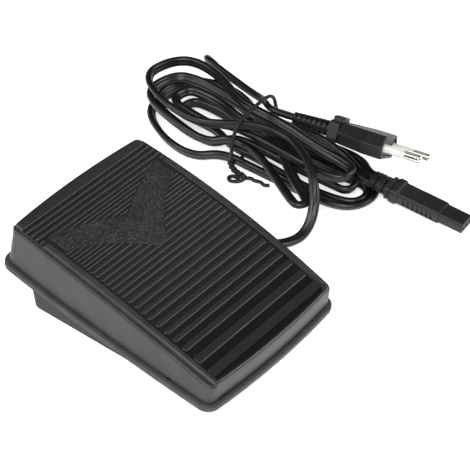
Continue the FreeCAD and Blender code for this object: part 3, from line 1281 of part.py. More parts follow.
def connector_body():
    """Thin flange, rounded collar, notched flat grip and the smaller barrel with its three sockets."""
    collar_z, grip_z, barrel_z, end_z = connector_places()
    width, thick = CONNECTOR_COLLAR_WIDTH, CONNECTOR_COLLAR_THICK
    flange_end = collar_z + CONNECTOR_FLANGE_LENGTH
    narrower = CONNECTOR_FLANGE_NARROWER
    flange = rounded_block(width - narrower, thick - narrower, collar_z, flange_end, thick / 3, CONNECTOR_FLANGE_LENGTH / 3)
    bulge_z = flange_end + CONNECTOR_FLANGE_LENGTH / 2
    bulge = centred_box(width, thick, bulge_z, grip_z)
    bulge = bulge.makeFillet(thick / 3, edges_along_axis(bulge))
    bulge = bulge.makeFillet(thick / 5, edges_at(bulge, bulge_z) + edges_at(bulge, grip_z))
    grip = rounded_block(CONNECTOR_GRIP_WIDTH, CONNECTOR_GRIP_THICK, collar_z + 0.4, barrel_z, CONNECTOR_GRIP_THICK / 4, 0.6)
    barrel = rounded_block(CONNECTOR_BARREL_WIDTH, CONNECTOR_BARREL_THICK, barrel_z - 1, end_z, CONNECTOR_BARREL_THICK / 4, 0.6)
    body = grip.fuse([flange, bulge, barrel])
    pitch = CONNECTOR_GRIP_LENGTH / (CONNECTOR_GRIP_NOTCHES + 2)
    notches = []
    for i in range(CONNECTOR_GRIP_NOTCHES):
        z = grip_z + pitch * (i + 1.25)
        for side in (-1, 1):
            x = side * CONNECTOR_GRIP_WIDTH / 2
            depth = CONNECTOR_GRIP_NOTCH_DEPTH
            notches.append(box((x - depth, -CONNECTOR_GRIP_THICK / 4, z), (x + depth, CONNECTOR_GRIP_THICK / 4, z + pitch / 2)))
    body = body.cut(notches)
    for i in (-1, 0, 1):
        base = (i * CONTACT_SPACING, 0, end_z - CONTACT_DEPTH)
        body = body.cut(cylinder(CONTACT_R + CONTACT_WALL + CONTACT_HOLE_GAP, base, (0, 0, 1), CONTACT_DEPTH + 1))
    return on_connector(body)


def connector_contacts():
    """Three sleeve contacts set back in the barrel's sockets."""
    end_z = connector_places()[3]
    sleeves = []
    for i in (-1, 0, 1):
        base = (i * CONTACT_SPACING, 0, end_z - CONTACT_DEPTH + SEAT)
        sleeve = cylinder(CONTACT_R + CONTACT_WALL, base, (0, 0, 1), CONTACT_DEPTH - CONTACT_SET_BACK)
        sleeves.append(sleeve.cut(cylinder(CONTACT_R, base, (0, 0, 1), CONTACT_DEPTH)))
    return on_connector(Part.makeCompound(sleeves))


def hank_end(stations, turns, layers, which):
    """Point and heading of the first (0) or last (1) station of a hank."""
    return hank_station(stations[which], stations[0], turns, layers)


def into_connector(side):
    """Last two points of the cord that enters the connector's relief on one side of its middle."""
    axis = Vec(*CONNECTOR_AXIS).normalize()
    across = axis.cross(Vec(0, 0, 1)).normalize() * -1
    end = Vec(*CONNECTOR_START) + across * (side * CORD_PAIR / 2) - axis * SEAT
    return [tuple(end - axis * CONNECTOR_STRAIGHT), tuple(end)]


def pedal_cord_route():
    first = (RELIEF_TIP_X + SEAT, CORD_EXIT_Y, CORD_EXIT_Z)
    last, heading = hank_end(PEDAL_HANK_STATIONS, PEDAL_TURNS, PEDAL_LAYERS, 0)
    return [first] + PEDAL_CORD_POINTS + [tuple(last - heading * 11), tuple(last)]


def pedal_end_route():
    first, heading = hank_end(PEDAL_HANK_STATIONS, PEDAL_TURNS, PEDAL_LAYERS, 1)
    return [tuple(first), tuple(first + heading * 9)] + PEDAL_END_POINTS + into_connector(-1)


def mains_end_route():
    first, heading = hank_end(MAINS_HANK_STATIONS, MAINS_TURNS, MAINS_LAYERS, 1)
    return [tuple(first), tuple(first + heading * 6)] + into_connector(1)


def mains_lead_route():
    first, heading = hank_end(MAINS_HANK_STATIONS, MAINS_TURNS, MAINS_LAYERS, 0)
    back = Vec(*PLUG_AXIS).normalize()
    front = Vec(*PLUG_FRONT) - back * SEAT
    return [tuple(first), tuple(first - heading * 8)] + MAINS_LEAD_POINTS + [tuple(front - back * 9), tuple(front)]


def inner_cord():
    """The cord's end inside the base, with its two conductors led to the terminals."""
    z = CORD_EXIT_Z
    end_x = CLAMP_X - 5.5
    sheath = cylinder(CORD_R, (end_x, CORD_EXIT_Y, z), (1, 0, 0), RELIEF_INNER_X - SEAT - end_x)
    top = BOARD_UNDERSIDE + BOARD_THICK + SEAT + 3.0
    wires = []
    for side in (-1, 1):
        y = CORD_EXIT_Y + side * 1.1
        x = TERMINAL_X + side * TERMINAL_PITCH / 2
        points = [(end_x + 0.5, y, z), (end_x - 2.5, y, z + 0.1), (x + 1.0, y - 0.1, z + 2.0),
                  (x, TERMINAL_Y - 3.0, top), (x, TERMINAL_Y + 1.5, top)]
        wires.append(pipe(route_edges(points), 0.7))
    return sheath.fuse(wires)


def cord_tie():
    """Wire tie round the waist of the hank, with its two ends twisted together."""
    return pipe(route_edges(TIE_POINTS), TIE_R).fuse(
        [pipe(route_edges(points), TIE_R) for points in (TIE_LEFT_END_POINTS, TIE_RIGHT_END_POINTS)])


def build():
    save("treadle_cover", cover())
    save("treadle_frame", frame())
    save("cover_screws", frame_screws())
    save("base_tub", tub())
    save("rubber_feet", feet())
    save("hinge_pin", hinge_pin())
    save("return_springs", springs())
    save("speed_sector", sector())
    save("pot_pinion", pinion())
    save("potentiometer", potentiometer())
    save("circuit_board", board())
    save("board_screws", board_screws())
    save("heat_sink", heat_sink())
    save("triac", triac())
    save("suppression_capacitor", capacitor())
    save("choke", choke())
    save("resistors", resistors())
    save("fuse", fuse_link())
    save("terminal_block", terminal_block())
    save("cord_clamp", cord_clamp())
    save("clamp_screws", clamp_screws())
    save("strain_relief", strain_relief())
    save("inner_cord", inner_cord())
    save("pedal_cord", route_tube("pedal_cord", pedal_cord_route(), CORD_R))
    save("pedal_cord_hank", hank("pedal_cord_hank", PEDAL_HANK_STATIONS, PEDAL_TURNS, PEDAL_LAYERS))
    save("pedal_cord_end", route_tube("pedal_cord_end", pedal_end_route(), CORD_R))
    save("mains_lead_end", route_tube("mains_lead_end", mains_end_route(), CORD_R))
    save("mains_lead_hank", hank("mains_lead_hank", MAINS_HANK_STATIONS, MAINS_TURNS, MAINS_LAYERS))
    save("mains_lead", route_tube("mains_lead", mains_lead_route(), CORD_R))
    save("cord_tie", cord_tie())
    save("plug_relief", plug_relief())
    save("plug_body", plug_body())
    save("plug_pins", plug_pins())
    save("connector_relief", connector_relief())
    save("connector_body", connector_body())
    save("connector_contacts", connector_contacts())


build()
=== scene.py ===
import bmesh
import bpy
import json
import math
from mathutils import Matrix, Vector


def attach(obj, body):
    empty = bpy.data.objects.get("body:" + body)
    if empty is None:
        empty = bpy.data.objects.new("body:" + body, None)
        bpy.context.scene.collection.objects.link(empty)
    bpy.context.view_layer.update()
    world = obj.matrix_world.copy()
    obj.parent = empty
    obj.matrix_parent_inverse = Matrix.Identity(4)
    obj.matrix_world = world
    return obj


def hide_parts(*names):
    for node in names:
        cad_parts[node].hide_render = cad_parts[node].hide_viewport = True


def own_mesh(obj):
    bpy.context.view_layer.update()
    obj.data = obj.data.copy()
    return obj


# Sewing machine foot pedal with its cords, plug and machine connector.
# Places are given in millimetres in the pedal's frame and scaled to metres where they are used.

MM = 0.001

# Camera, at the photograph's viewing angle
CAMERA_PLACE = (-467.9, -422.2, 572.0)
CAMERA_AZIMUTH = -50.609
CAMERA_ELEVATION = 39.915
CAMERA_ROLL = -0.215
CAMERA_LENS = 144.33
CAMERA_NEAR = 20.0
SENSOR = 36.0

# Studio, in metres: the point that the soft boxes face, the floor, the light of the room from where its walls
# are pale to where they are dark, and each soft box's direction, distance, width, height and power
LIT_MIDDLE = (0.03, 0.0, 0.02)
FLOOR_SIZE = 6.0
FLOOR_COLOUR = (0.88, 0.88, 0.88, 1)
FLOOR_ROUGHNESS = 0.8
FLOOR_GLOW = 0.6
WALL_LIGHT = 0.9
CEILING_LIGHT = 0.16
WALL_PALE_TO = 0.35
WALL_DARK_FROM = 0.86
SOFTBOXES = [
    ("key_softbox", (-0.6, -0.4, 0.8), 1.5, 0.9, 0.7, 20),
    ("heel_softbox", (0.55, -0.62, 0.5), 1.4, 0.7, 0.5, 9),
    ("toe_softbox", (-0.55, 0.55, 0.6), 1.4, 0.7, 0.4, 8),
    ("far_softbox", (0.55, 0.2, 0.8), 1.5, 0.5, 0.5, 0.7),
    ("top_softbox", (-0.2, 0.2, 0.96), 1.4, 0.5, 0.4, 1.2),
]

# Flat twin cord: its size, its groove, whose edges lie at a share of the way from the middle to each core and
# a little below the top, and the points and degrees of the arc round each core
CORD_WIDTH = 5.2
CORD_THICK = 3.3
CORD_GROOVE = 0.32
CORD_GROOVE_EDGE = 0.45
CORD_GROOVE_EASE = 0.1
CORD_ARC_POINTS = 7
CORD_ARC = 160

# Hank of both cords: two layers of loops for each cord, drawn in at the waist, where the tie holds them.
# A loop has eight stations, numbered from the waist on the -X side, and the two layers meet at station 16.
HANK_X = 115.6
HANK_Y = 46.0
HANK_WAIST_LIFT = 1.2
HANK_LAYER = 5.1
HANK_LOWEST = 2.7
HANK_REVERSE = 16
PEDAL_HANK_STATIONS = (9, 28)
MAINS_HANK_STATIONS = (3, 29)
PEDAL_LAYERS = (4, 3)
MAINS_LAYERS = (1, 2)

# Turns of each hank in the order they are wound, toe and heel in turn, measured from the middle of the waist:
# reach and half width of the widest places, their shift to +X, how much further the +X one reaches than
# the middle of the two, then reach and shift of the tip
PEDAL_TURNS = [
    (44.0, 19.0, 4.0, 9.0, 67.0, 9.0), (50.0, 7.0, -3.5, 0.0, 62.0, -3.0), (30.0, 8.0, 1.0, 5.0, 48.0, 3.0),
    (48.2, 3.8, -26.0, 0.0, 54.5, -29.8), (28.0, 18.5, -2.0, 13.0, 62.0, 6.0),
]
MAINS_TURNS = [
    (38.0, 25.0, 5.0, 0.0, 60.0, 0.0), (54.0, 14.8, 3.6, 0.0, 70.0, 5.0), (27.0, 24.0, 0.5, 4.0, 62.5, 7.0),
    (48.0, 9.4, 2.5, 0.0, 66.5, 4.0), (26.0, 6.5, 1.5, 4.0, 44.0, 2.0), (46.0, 4.2, 0.5, 0.0, 61.5, 1.5),
    (25.0, 20.5, 5.0, 8.0, 60.0, 9.0), (47.0, 23.4, -3.0, 0.0, 60.0, 0.0),
]

# Where each pass lies across the waist, from the middle, in the order of winding
PEDAL_WAIST = [8.0, -6.5, 2.5, -12.0, 12.5]
MAINS_WAIST = [17.0, -13.5, 10.5, -9.0, 4.5, -4.5, 14.0]

# Routes of the free stretches
CORD_EXIT = (56.15, -12.0, 6.4)
PEDAL_CORD_POINTS = [
    (61.5, -12.0, 6.4), (68.0, -14.4, 4.2), (76.0, -16.6, 4.2), (83.3, -16.1, 8.6), (89.6, -13.2, 15.9),
    (97.0, -6.2, 22.0), (105.0, 3.6, 23.4), (111.4, 16.0, 22.6), (112.0, 28.5, 23.2), (108.4, 40.0, 23.8),
    (103.0, 51.5, 22.0), (99.6, 62.5, 19.8),
]
PEDAL_END_POINTS = [(131.6, 17.5, 13.8), (130.6, 4.0, 12.0), (128.0, -7.0, 10.6)]
MAINS_LEAD_POINTS = [
    (153.2, 98.2, 6.2), (152.6, 104.2, 10.4), (147.4, 102.2, 15.2), (144.6, 90.5, 15.0), (141.8, 77.0, 14.8),
    (137.8, 63.5, 16.0), (133.8, 52.8, 18.8), (128.6, 47.2, 22.0), (124.2, 41.2, 24.6),
]
PLUG_FRONT = (125.3, 27.1, 24.8)
PLUG_AXIS = (0.247, -0.967, -0.054)
PLUG_ACROSS = (0.800, 0.234, -0.550)
CONNECTOR_START = (127.3, -19.8, 8.5)
CONNECTOR_AXIS = (0.1, -0.99, -0.1)
CONNECTOR_ACROSS = (1, 0, 0)
CORD_EXIT_ACROSS = (0, 1, 0)

# Straight runs into the connector and the plug, and before and after each hank, then the distance between the
# two cords in the connector's relief
CONNECTOR_STRAIGHT = 4.6
PLUG_STRAIGHT = 9
PEDAL_HANK_STRAIGHTS = (11, 9)
MAINS_HANK_STRAIGHTS = (8, 6)
CORD_PAIR = 4.8

# Slotted reliefs: length, half sizes at the tip and at the root, a plain ring at the tip, then bands whose
# slots follow the rows of gaps in turn; each slot has a narrow rim and a sloping wall
RELIEF_SIDES = 12
SLOT_RIM = 0.1
SLOT_WALL = 0.05
PLUG_RELIEF = dict(length=20.0, tip=(3.35, 2.85), root=(4.9, 4.1), ring=1.2, bands=14, depth=1.1,
                   gaps=[(1, 2, 4, 5), ()])
CONNECTOR_RELIEF = dict(length=9.6, tip=(5.6, 3.4), root=(5.75, 3.7), ring=0.8, bands=8, depth=1.3,
                        gaps=[(0, 1, 2), (), (3, 4, 5), ()])

# Plug pins: where their satin part ends along the plug's line and over what length, the roughness of the
# satin part and of the polished one, and how metallic the satin part is
PIN_SATIN_TO = 60.0
PIN_SATIN_FADES = 0.6
PIN_SATIN_ROUGHNESS = 0.42
PIN_POLISHED_ROUGHNESS = 0.2
PIN_SATIN_METALLIC = 0.25

# Wire tie: its loop, the line that its two ends are twisted round, and where each end then goes
TIE_R = 0.95
TIE_SIDES = 10
TIE_KNOT_R = 1.05
TIE_FIRST_ACROSS = (0.3, 0.2, 1)
TIE_POINTS = [
    (97.4, 45.0, 5.6), (98.6, 46.0, 1.1), (117.0, 46.4, 1.1), (135.6, 46.0, 1.1), (137.4, 47.0, 8.0),
    (137.0, 47.6, 16.0), (134.6, 47.4, 23.4), (128.4, 47.0, 26.4), (120.0, 46.2, 26.6), (110.6, 44.8, 27.6),
    (102.2, 43.8, 26.6), (97.6, 43.4, 20.0), (96.8, 43.6, 12.0), (97.0, 44.0, 5.2),
]
TIE_KNOT_LINE = [
    (96.8, 44.2, 5.6), (95.6, 42.4, 4.6), (95.0, 40.2, 3.8), (94.9, 37.8, 3.2), (95.2, 35.4, 2.8),
    (95.8, 33.0, 2.6),
]
TIE_LEFT_TAIL = [
    (93.6, 33.2, 2.0), (90.6, 36.4, 1.2), (89.8, 39.8, 1.1), (92.0, 41.4, 1.2), (94.2, 39.4, 1.4),
    (93.4, 36.4, 1.2),
]
TIE_RIGHT_TAIL = [
    (96.6, 30.6, 2.8), (95.2, 28.0, 3.2), (97.6, 25.8, 2.4), (96.6, 23.0, 1.8), (98.8, 21.6, 1.4),
]

# How far the flat cord leans over from lying flat, in degrees, at distances along it in millimetres
PEDAL_LEAN = [
    (0, 0), (30, 10), (60, 45), (95, 80), (150, 60), (215, 80), (290, 40), (350, 80), (430, 40), (500, 30),
    (560, 25), (620, 35), (660, 80), (740, 45), (1000, 60),
]
MAINS_LEAN = [
    (0, 20), (25, 60), (90, 80), (160, 80), (240, 50), (300, 85), (400, 45), (470, 85), (560, 50), (640, 85),
    (730, 45), (820, 80), (900, 50), (1100, 75),
]

# Most degrees that a cord twists in a millimetre, how far before its end it turns to its fitting, and how
# soon it twists at the full rate as its line leaves the upright
CORD_TWIST_RATE = 3.0
CORD_END_SETTLES = 25.0
CORD_UPRIGHT_EASE = 1.5

# Smooth lines: points between two control points, their order, and when two headings count as parallel
LINE_STEPS = 10
LINE_ORDER = 3
NEARLY_PARALLEL = 1e-6

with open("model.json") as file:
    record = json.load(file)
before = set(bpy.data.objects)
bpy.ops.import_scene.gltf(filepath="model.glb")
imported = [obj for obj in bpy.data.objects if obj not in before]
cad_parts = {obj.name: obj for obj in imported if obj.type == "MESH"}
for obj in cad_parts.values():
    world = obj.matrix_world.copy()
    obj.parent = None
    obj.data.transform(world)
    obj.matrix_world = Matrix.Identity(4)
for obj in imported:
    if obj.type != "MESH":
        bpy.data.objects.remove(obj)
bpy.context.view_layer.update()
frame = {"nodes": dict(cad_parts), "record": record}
nodes = frame["nodes"]
bpy.ops.object.select_all(action="DESELECT")


def metres(point):
    return Vector(point) * MM


# Camera, floor and studio light

def add_camera():
    data = bpy.data.cameras.new("camera")
    data.lens = CAMERA_LENS
    data.sensor_width = SENSOR
    data.clip_start = CAMERA_NEAR * MM
    camera = bpy.data.objects.new("camera", data)
    turn = Matrix.Rotation(math.radians(CAMERA_AZIMUTH), 4, "Z")
    tip = Matrix.Rotation(math.radians(90 - CAMERA_ELEVATION), 4, "X")
    roll = Matrix.Rotation(math.radians(CAMERA_ROLL), 4, "Z")
    camera.matrix_world = Matrix.Translation(metres(CAMERA_PLACE)) @ turn @ tip @ roll
    bpy.context.scene.collection.objects.link(camera)
    bpy.context.scene.camera = camera


def add_softbox(name, toward, distance, width, height, power):
    """Large soft light that faces the middle of the object from a direction."""
    data = bpy.data.lights.new(name, "AREA")
    data.shape = "RECTANGLE"
    data.size = width
    data.size_y = height
    data.energy = power
    lamp = bpy.data.objects.new(name, data)
    back = Vector(toward).normalized()
    lamp.location = Vector(LIT_MIDDLE) + back * distance
    lamp.rotation_mode = "QUATERNION"
    lamp.rotation_quaternion = back.to_track_quat("Z", "Y")
    bpy.context.scene.collection.objects.link(lamp)


def add_room():
    """Room whose walls are pale near the floor and dark toward the ceiling."""
    world = bpy.data.worlds.new("studio")
    world.use_nodes = True
    tree = world.node_tree
    toward = tree.nodes.new("ShaderNodeTexCoord")
    parts = tree.nodes.new("ShaderNodeSeparateXYZ")
    height = tree.nodes.new("ShaderNodeMapRange")
    height.interpolation_type = "SMOOTHSTEP"
    height.inputs["From Min"].default_value = WALL_PALE_TO
    height.inputs["From Max"].default_value = WALL_DARK_FROM
    height.inputs["To Min"].default_value = WALL_LIGHT
    height.inputs["To Max"].default_value = CEILING_LIGHT
    tree.links.new(toward.outputs["Generated"], parts.inputs["Vector"])
    tree.links.new(parts.outputs["Z"], height.inputs["Value"])
    tree.links.new(height.outputs["Result"], tree.nodes["Background"].inputs["Strength"])
    bpy.context.scene.world = world


def add_studio():
    """White floor, lit from below as a product table is, and soft boxes round the object."""
    bpy.ops.mesh.primitive_plane_add(size=FLOOR_SIZE, location=(0, 0, 0))
    floor = bpy.context.object
    floor.name = "floor"
    pale = bpy.data.materials.new("pale_floor")
    pale.use_nodes = True
    shader = pale.node_tree.nodes["Principled BSDF"]
    shader.inputs["Base Color"].default_value = FLOOR_COLOUR
    shader.inputs["Roughness"].default_value = FLOOR_ROUGHNESS
    shader.inputs["Emission Color"].default_value = (1, 1, 1, 1)
    shader.inputs["Emission Strength"].default_value = FLOOR_GLOW
    floor.data.materials.append(pale)
    floor.select_set(False)
    add_room()
    for softbox in SOFTBOXES:
        add_softbox(*softbox)
    bpy.context.scene.view_settings.view_transform = "Standard"


# Cords

def layer_z(layer):
    return HANK_LOWEST + (layer - 1) * HANK_LAYER


def hank_station(s, first, turns, layers, waist):
    """Point and heading of a station of a hank whose winding begins at the first station."""
    part_way = min(max((s - HANK_REVERSE + 1) / 2, 0), 1)
    z = layer_z(layers[0]) + (layer_z(layers[1]) - layer_z(layers[0])) * part_way
    at = s % 4
    toe = 1 if s % 8 < 4 else -1
    if at == 0:
        x = HANK_X + waist[s // 4 - first // 4 - 1]
        return Vector((x, HANK_Y, z + HANK_WAIST_LIFT)), Vector((0, toe, 0))
    reach, half, shift, skew, tip, tip_shift = turns[s // 4 - first // 4]
    turned = Matrix.Rotation(-toe * math.atan(tip_shift / tip), 3, "Z")
    middle = Vector((HANK_X, HANK_Y, z))
    if at == 2:
        return middle + Vector((tip_shift, toe * tip, 0)), turned @ Vector((toe, 0, 0))
    side = toe * (at - 2)
    spot = Vector((shift, toe * (reach + side * skew), 0)) + turned @ Vector((side * half, 0, 0))
    return middle + spot, turned @ Vector((0, -side, 0))


def bend_knots(start, start_heading, end, end_heading):
    """Two control points between neighbouring stations, one ahead of the first and one behind the second."""
    v = end - start
    t = start_heading + end_heading
    spread = 2 * (1 - start_heading.dot(end_heading))
    if spread < NEARLY_PARALLEL:
        d = v.dot(v) / (4 * v.dot(end_heading))
    else:
        d = (math.sqrt(v.dot(t) ** 2 + spread * v.dot(v)) - v.dot(t)) / spread
    return [start + start_heading * d, end - end_heading * d]


def hank_knots(stations, turns, layers, waist):
    """Control points of a hank's line from its first station to its last."""
    first, last = stations
    placed = [hank_station(s, first, turns, layers, waist) for s in range(first, last + 1)]
    knots = []
    for (start, start_heading), (end, end_heading) in zip(placed, placed[1:]):
        knots += bend_knots(start, start_heading, end, end_heading)
    return knots


def into_connector(side):
    """Last two points of the cord that enters the connector's relief on one side of its middle."""
    axis = Vector(CONNECTOR_AXIS).normalized()
    across = Vector((0, 0, 1)).cross(axis).normalized()
    end = Vector(CONNECTOR_START) + across * (side * CORD_PAIR / 2)
    return [end - axis * CONNECTOR_STRAIGHT, end]


def pedal_cord_route():
    facts = PEDAL_TURNS, PEDAL_LAYERS, PEDAL_WAIST
    first, last = PEDAL_HANK_STATIONS
    before, after = PEDAL_HANK_STRAIGHTS
    start, heading = hank_station(first, first, *facts)
    end, leaving = hank_station(last, first, *facts)
    lead = [CORD_EXIT] + PEDAL_CORD_POINTS + [start - heading * before]
    tail = [end + leaving * after] + PEDAL_END_POINTS + into_connector(-1)
    return lead + hank_knots(PEDAL_HANK_STATIONS, *facts) + tail


def mains_lead_route():
    facts = MAINS_TURNS, MAINS_LAYERS, MAINS_WAIST
    first, last = MAINS_HANK_STATIONS
    before, after = MAINS_HANK_STRAIGHTS
    start, heading = hank_station(first, first, *facts)
    end, leaving = hank_station(last, first, *facts)
    back = Vector(PLUG_AXIS).normalized()
    front = Vector(PLUG_FRONT)
    lead = [front, front - back * PLUG_STRAIGHT] + MAINS_LEAD_POINTS[::-1] + [start - heading * before]
    return lead + hank_knots(MAINS_HANK_STATIONS, *facts) + [end + leaving * after] + into_connector(1)


def smooth_line(name, route):
    """Points of the smooth line that has a route's points as its control points."""
    curve = bpy.data.curves.new(name, "CURVE")
    curve.dimensions = "3D"
    curve.resolution_u = LINE_STEPS
    spline = curve.splines.new("NURBS")
    spline.points.add(len(route) - 1)
    for knot, point in zip(spline.points, route):
        knot.co = (*metres(point), 1)
    spline.order_u = LINE_ORDER
    spline.use_endpoint_u = True
    holder = bpy.data.objects.new(name, curve)
    mesh = bpy.data.meshes.new_from_object(holder)
    line = [v.co.copy() for v in mesh.vertices]
    bpy.data.meshes.remove(mesh)
    bpy.data.curves.remove(curve)
    return line


def headings_along(line):
    last = len(line) - 1
    return [(line[min(i + 1, last)] - line[max(i - 1, 0)]).normalized() for i in range(last + 1)]


def distances_along(line):
    total = [0.0]
    for a, b in zip(line, line[1:]):
        total.append(total[-1] + (b - a).length)
    return total


def square_to(vector, heading):
    return (vector - heading * vector.dot(heading)).normalized()


def twin_section():
    """Outline of the flat twin cord: two round cores side by side with a shallow groove between."""
    r = CORD_THICK / 2
    centre = CORD_WIDTH / 2 - r
    right = []
    for i in range(CORD_ARC_POINTS):
        angle = math.radians(-CORD_ARC / 2 + CORD_ARC * i / (CORD_ARC_POINTS - 1))
        right.append((centre + r * math.cos(angle), r * math.sin(angle)))
    edge = centre * CORD_GROOVE_EDGE
    groove_top = [(edge, r - CORD_GROOVE_EASE), (0, r - CORD_GROOVE), (-edge, r - CORD_GROOVE_EASE)]
    left = [(-x, -y) for x, y in right]
    groove_low = [(-x, -y) for x, y in groove_top]
    return right + groove_top + left + groove_low


def turned_toward(current, wanted, heading, most):
    """Turn a vector about the heading toward another, or its opposite, by no more than an angle."""
    wanted = square_to(wanted, heading)
    angle = math.atan2(heading.dot(current.cross(wanted)), current.dot(wanted))
    if angle > math.pi / 2:
        angle -= math.pi
    if angle < -math.pi / 2:
        angle += math.pi
    return Matrix.Rotation(max(-most, min(most, angle)), 3, heading) @ current


def widths_along(line, first_across, last_across, lean):
    """Direction of the flat cord's width at each point of its line."""
    headings = headings_along(line)
    along = distances_along(line)
    across = [square_to(Vector(first_across), headings[0])]
    for i in range(1, len(line)):
        heading = headings[i]
        carried = square_to(across[-1], heading)
        at = along[i] / MM
        level = Vector((0, 0, 1)).cross(heading)
        if along[-1] / MM - at < CORD_END_SETTLES:
            wanted = Vector(last_across)
        else:
            wanted = Matrix.Rotation(math.radians(keyed(lean, at)), 3, heading) @ level
        steady = min(level.length * CORD_UPRIGHT_EASE, 1)
        most = math.radians(CORD_TWIST_RATE) * (along[i] - along[i - 1]) / MM * steady
        across.append(turned_toward(carried, wanted, heading, most))
    return headings, along, across


def sweep(name, line, headings, along, across, section):
    """Closed tube of a section, in millimetres, along a line; its UV map runs along and round it."""
    n = len(section)
    points, faces = [], []
    for centre, heading, side in zip(line, headings, across):
        up = heading.cross(side)
        points += [centre + (side * x + up * y) * MM for x, y in section]
    for i in range(len(line) - 1):
        for k in range(n):
            a, b = i * n + k, i * n + (k + 1) % n
            faces.append((a, b, b + n, a + n))
    faces.append(tuple(range(n))[::-1])
    faces.append(tuple(range(len(points) - n, len(points))))
    mesh = bpy.data.meshes.new(name)
    mesh.from_pydata(points, [], faces)
    layer = mesh.uv_layers.new(name="along")
    for face in mesh.polygons[:-2]:
        i, k = divmod(face.index, n)
        corners = ((i, k), (i, k + 1), (i + 1, k + 1), (i + 1, k))
        for loop, (ring, spot) in zip(face.loop_indices, corners):
            layer.data[loop].uv = (along[ring], spot / n)
    mesh.shade_smooth()
    piece = bpy.data.objects.new(name, mesh)
    bpy.context.scene.collection.objects.link(piece)
    return piece


def twin_cord(name, route, first_across, last_across, lean):
    """Flat cord swept along a route; its lean is keyed in degrees over millimetres along it."""
    line = smooth_line(name, route)
    headings, along, across = widths_along(line, first_across, last_across, lean)
    return sweep(name, line, headings, along, across, twin_section()), line, along[-1]


def keyed(keys, place):
    """Value at a place, eased between keys."""
    for (a, low), (b, high) in zip(keys, keys[1:]):
        if place <= b:
            k = (place - a) / (b - a)
            k = k * k * (3 - 2 * k)
            return low + (high - low) * k
    return keys[-1][1]


def add_cords():
    pedal, line, length = twin_cord("pedal_flex", pedal_cord_route(), CORD_EXIT_ACROSS, CONNECTOR_ACROSS,
                                    PEDAL_LEAN)
    pedal.data.materials.append(finishes["cord_plastic"])
    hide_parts("pedal_cord", "pedal_cord_hank", "pedal_cord_end")
    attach(pedal, "root")
    mains, line, length = twin_cord("mains_flex", mains_lead_route(), PLUG_ACROSS, CONNECTOR_ACROSS,
                                    MAINS_LEAN)
    mains.data.materials.append(finishes["cord_plastic"])
    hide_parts("mains_lead_end", "mains_lead_hank", "mains_lead")
    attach(mains, "root")


# Wire tie round the hank

def wire(name, route):
    """Round wire in its sleeve along a route."""
    line = smooth_line(name, route)
    headings = headings_along(line)
    across = [square_to(Vector(TIE_FIRST_ACROSS), headings[0])]
    for heading in headings[1:]:
        across.append(square_to(across[-1], heading))
    ring = [math.radians(360 * i / TIE_SIDES) for i in range(TIE_SIDES)]
    return sweep(name, line, headings, distances_along(line), across,
                 [(TIE_R * math.cos(turn), TIE_R * math.sin(turn)) for turn in ring])


def twisted_end(turn, tail):
    """Route of one of the tie's ends, wound round the other along the knot's line and then bent away."""
    knots = []
    for i, (middle, ahead) in enumerate(zip(TIE_KNOT_LINE, TIE_KNOT_LINE[1:])):
        middle, ahead = Vector(middle), Vector(ahead)
        heading = (ahead - middle).normalized()
        level = heading.cross(Vector((0, 0, 1))).normalized()
        upright = level.cross(heading)
        for k in range(2):
            angle = math.radians(turn + 90 * (2 * i + k))
            offset = (level * math.cos(angle) + upright * math.sin(angle)) * TIE_KNOT_R
            knots.append(middle.lerp(ahead, k / 2) + offset)
    return knots + [Vector(p) for p in tail]


def add_tie():
    pieces = [wire("cord_tie_loop", TIE_POINTS), wire("cord_tie_left", twisted_end(0, TIE_LEFT_TAIL)),
              wire("cord_tie_right", twisted_end(180, TIE_RIGHT_TAIL))]
    for piece in pieces:
        piece.select_set(True)
    bpy.context.view_layer.objects.active = pieces[0]
    bpy.ops.object.join()
    tie = pieces[0]
    tie.name = "wire_tie"
    tie.data.materials.append(finishes["tie_plastic"])
    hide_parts("cord_tie")
    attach(tie, "root")
    tie.select_set(False)


# Reliefs of the plug and the connector

